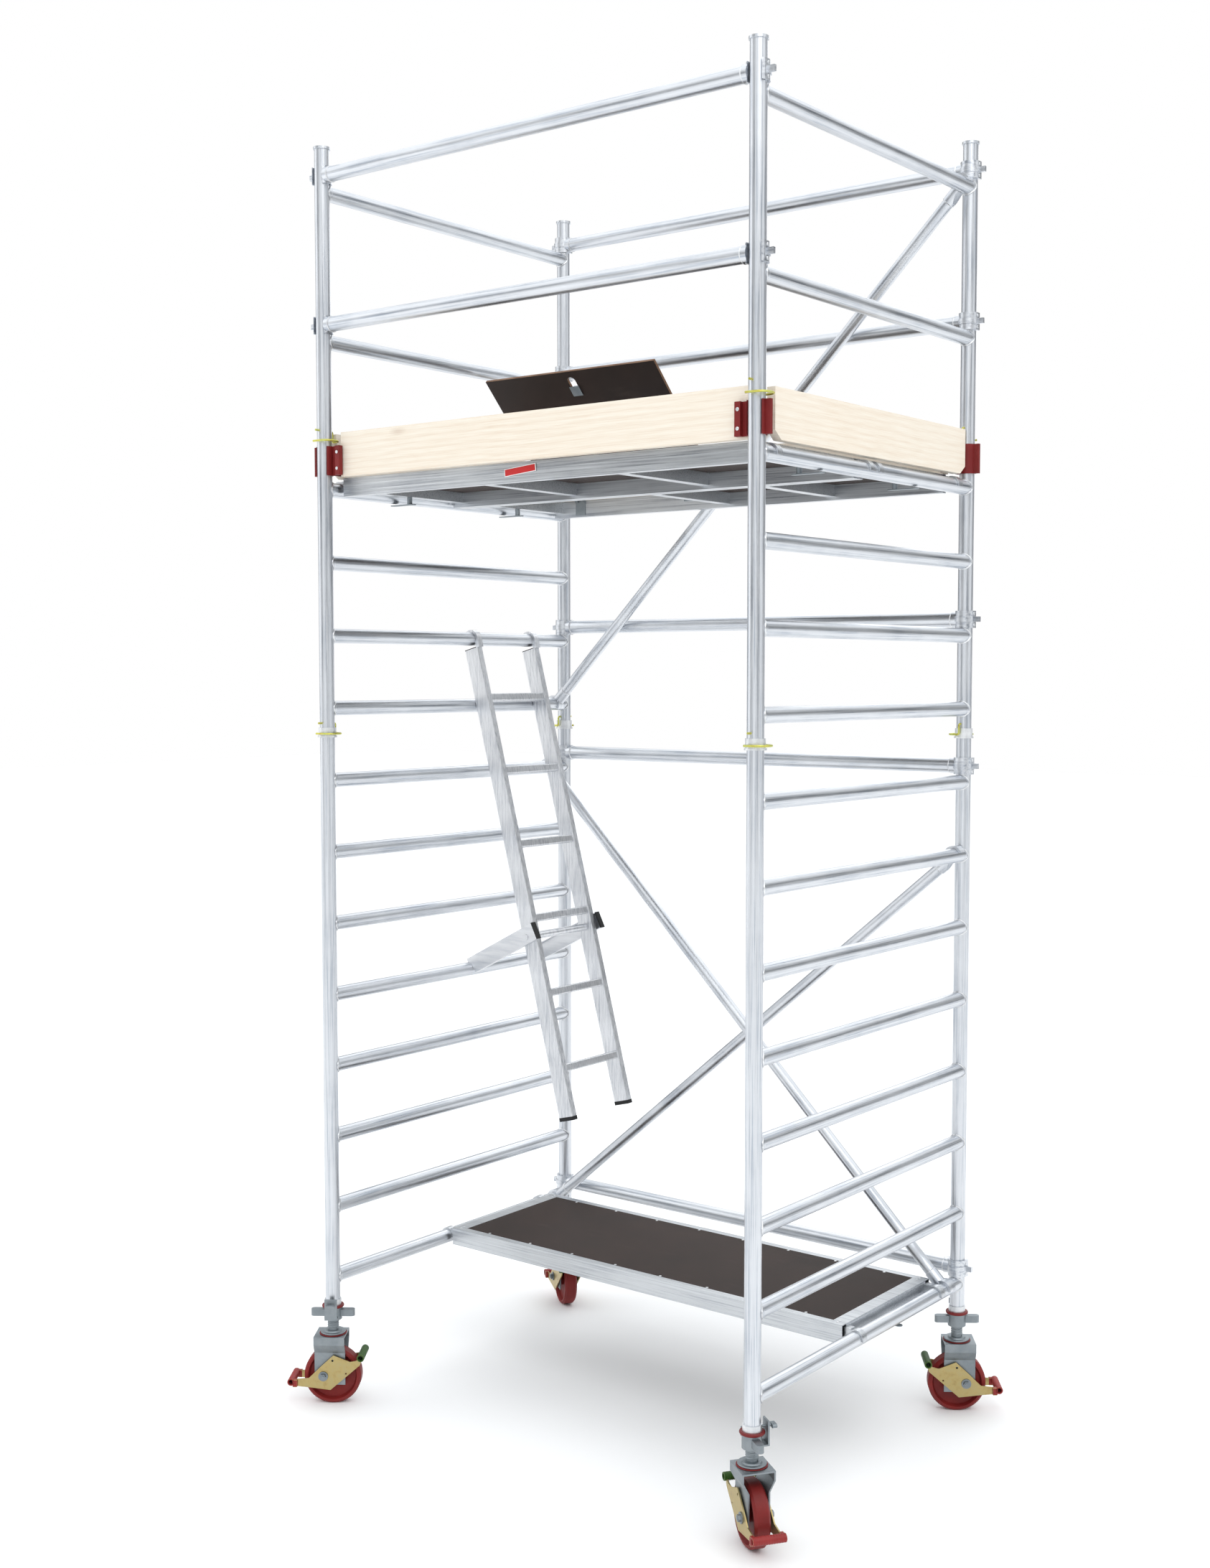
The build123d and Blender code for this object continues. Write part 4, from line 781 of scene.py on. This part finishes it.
LABEL_Y = -0.5964
BORDER_Y = -0.5960
label = Builder()
label.bar((-0.106, LABEL_Y, 3.2080), (0.019, LABEL_Y, 3.2192), (0, 1, 0), (0.0012, 0.020), 0.0004)
label.piece("plain_red_label", "tower", "red_label")
border = Builder()
border.bar((-0.109, BORDER_Y, 3.2077), (0.022, BORDER_Y, 3.2195), (0, 1, 0), (0.0010, 0.025), 0.0004)
border.piece("label_border", "tower", "label_border")

BRACKET_BOTTOM = 3.246
BRACKET_RIVET_RISES = (0.022, 0.077)
BRACKET_RIVET = ((0.0058, 0), (0.0056, 0.0014), (0.0036, 0.0030), (0, 0.0034))
screws = Builder()
for corner, (x, y) in CORNERS.items():
    inward = 1 if y < 0 else -1
    middle = -1 if x > 0 else 1
    arm = 0.008 if y < 0 else 0.071
    for rise in BRACKET_RIVET_RISES:
        place = (x + middle * 0.064, y + inward * (arm - 0.013), BRACKET_BOTTOM + rise)
        screws.lathe(place, (0, -inward, 0), BRACKET_RIVET, 18)
screws.piece("bracket_rivets", "tower", "cast_aluminium")

# ------------------------------------------------------------------ floor, light, camera
floor_mesh = bpy.data.meshes.new("floor")
FLOOR_HALF = 40.0
floor_corners = [(x * FLOOR_HALF, y * FLOOR_HALF, 0) for x, y in ((-1, -1), (1, -1), (1, 1), (-1, 1))]
floor_mesh.from_pydata(floor_corners, [], [(0, 1, 2, 3)])
floor = bpy.data.objects.new("floor", floor_mesh)
bpy.context.scene.collection.objects.link(floor)
pale = Graph("pale_floor")
soft = pale.noise(pale.coords, 1.4, 3.0, 0.5)
pale_colour = pale.ramp(soft, ((0.3, (0.93, 0.93, 0.93)), (0.7, (0.95, 0.95, 0.95))))
floor_mesh.materials.append(pale.finish(pale_colour, pale.range(soft, 0.3, 0.7, 0.85, 0.9)))


def area_light(name, place, target, size, power):
    data = bpy.data.lights.new(name, "AREA")
    data.shape = "RECTANGLE"
    data.size, data.size_y = size
    data.energy = power
    lamp = bpy.data.objects.new(name, data)
    lamp.location = place
    lamp.rotation_euler = (Vector(target) - Vector(place)).to_track_quat("-Z", "Y").to_euler()
    bpy.context.scene.collection.objects.link(lamp)


area_light("key", (5.5, -4.0, 8.0), (0, 0, 2.0), (5.0, 5.0), 150)
area_light("left_fill", (-6.5, -4.5, 4.5), (0, 0, 2.0), (4.0, 6.0), 60)
area_light("back_rim", (-2.0, 7.0, 6.0), (0, 0, 2.4), (6.0, 4.0), 60)

world = bpy.data.worlds.new("studio")
bpy.context.scene.world = world
world.use_nodes = True
tree = world.node_tree
tree.nodes.clear()


def world_math(operation, first, second=None):
    made = tree.nodes.new("ShaderNodeMath")
    made.operation = operation
    for index, value in enumerate((first, second)):
        if value is None:
            continue
        if isinstance(value, (int, float)):
            made.inputs[index].default_value = value
        else:
            tree.links.new(value, made.inputs[index])
    return made.outputs[0]


def world_range(value, low, high, new_low, new_high):
    made = tree.nodes.new("ShaderNodeMapRange")
    made.interpolation_type = "SMOOTHSTEP"
    for key, number in (("From Min", low), ("From Max", high), ("To Min", new_low), ("To Max", new_high)):
        made.inputs[key].default_value = number
    tree.links.new(value, made.inputs["Value"])
    return made.outputs["Result"]


OVERHEAD_LEVEL = 1.42
out = tree.nodes.new("ShaderNodeOutputWorld")
direction = tree.nodes.new("ShaderNodeTexCoord")
parts = tree.nodes.new("ShaderNodeSeparateXYZ")
tree.links.new(direction.outputs["Generated"], parts.inputs[0])
turn_angle = world_math("ARCTAN2", parts.outputs["Y"], parts.outputs["X"])
panels = world_math("SINE", world_math("ADD", world_math("MULTIPLY", turn_angle, 4.0), 0.6))
side_light = world_range(panels, -0.55, 0.75, 0.22, 1.0)
overhead = world_range(parts.outputs["Z"], 0.22, 0.62, 0.0, 1.0)
walls = world_math("MULTIPLY", side_light, world_math("SUBTRACT", 1.0, overhead))
level = world_math("ADD", walls, world_math("MULTIPLY", overhead, OVERHEAD_LEVEL))
surround = tree.nodes.new("ShaderNodeBackground")
surround.inputs["Color"].default_value = (0.965, 0.985, 1.0, 1)
tree.links.new(level, surround.inputs["Strength"])
plain = tree.nodes.new("ShaderNodeBackground")
plain.inputs["Color"].default_value = (1, 1, 1, 1)
plain.inputs["Strength"].default_value = 1.0
path = tree.nodes.new("ShaderNodeLightPath")
choose = tree.nodes.new("ShaderNodeMixShader")
tree.links.new(path.outputs["Is Camera Ray"], choose.inputs[0])
tree.links.new(surround.outputs[0], choose.inputs[1])
tree.links.new(plain.outputs[0], choose.inputs[2])
tree.links.new(choose.outputs[0], out.inputs["Surface"])
bpy.context.scene.view_settings.view_transform = "Standard"

CAMERA_PLACE = (3.8002, -5.0281, 2.5652)
CAMERA_RIGHT = (0.7920, 0.6105, 0.0004)
CAMERA_AHEAD = (-0.6092, 0.7904, -0.0634)
camera_data = bpy.data.cameras.new("camera")
camera_data.sensor_width = 36.0
camera_data.lens = 42.02
camera_data.shift_x = -0.01381
camera_data.shift_y = 0.00464
camera_data.clip_end = 200.0
camera = bpy.data.objects.new("camera", camera_data)
right = Vector(CAMERA_RIGHT).normalized()
ahead = Vector(CAMERA_AHEAD)
ahead = (ahead - right * ahead.dot(right)).normalized()
above = right.cross(ahead)
turn = Matrix((right, above, -ahead)).transposed().to_4x4()
camera.matrix_world = Matrix.Translation(CAMERA_PLACE) @ turn
bpy.context.scene.collection.objects.link(camera)
bpy.context.scene.camera = camera

bpy.context.view_layer.update()
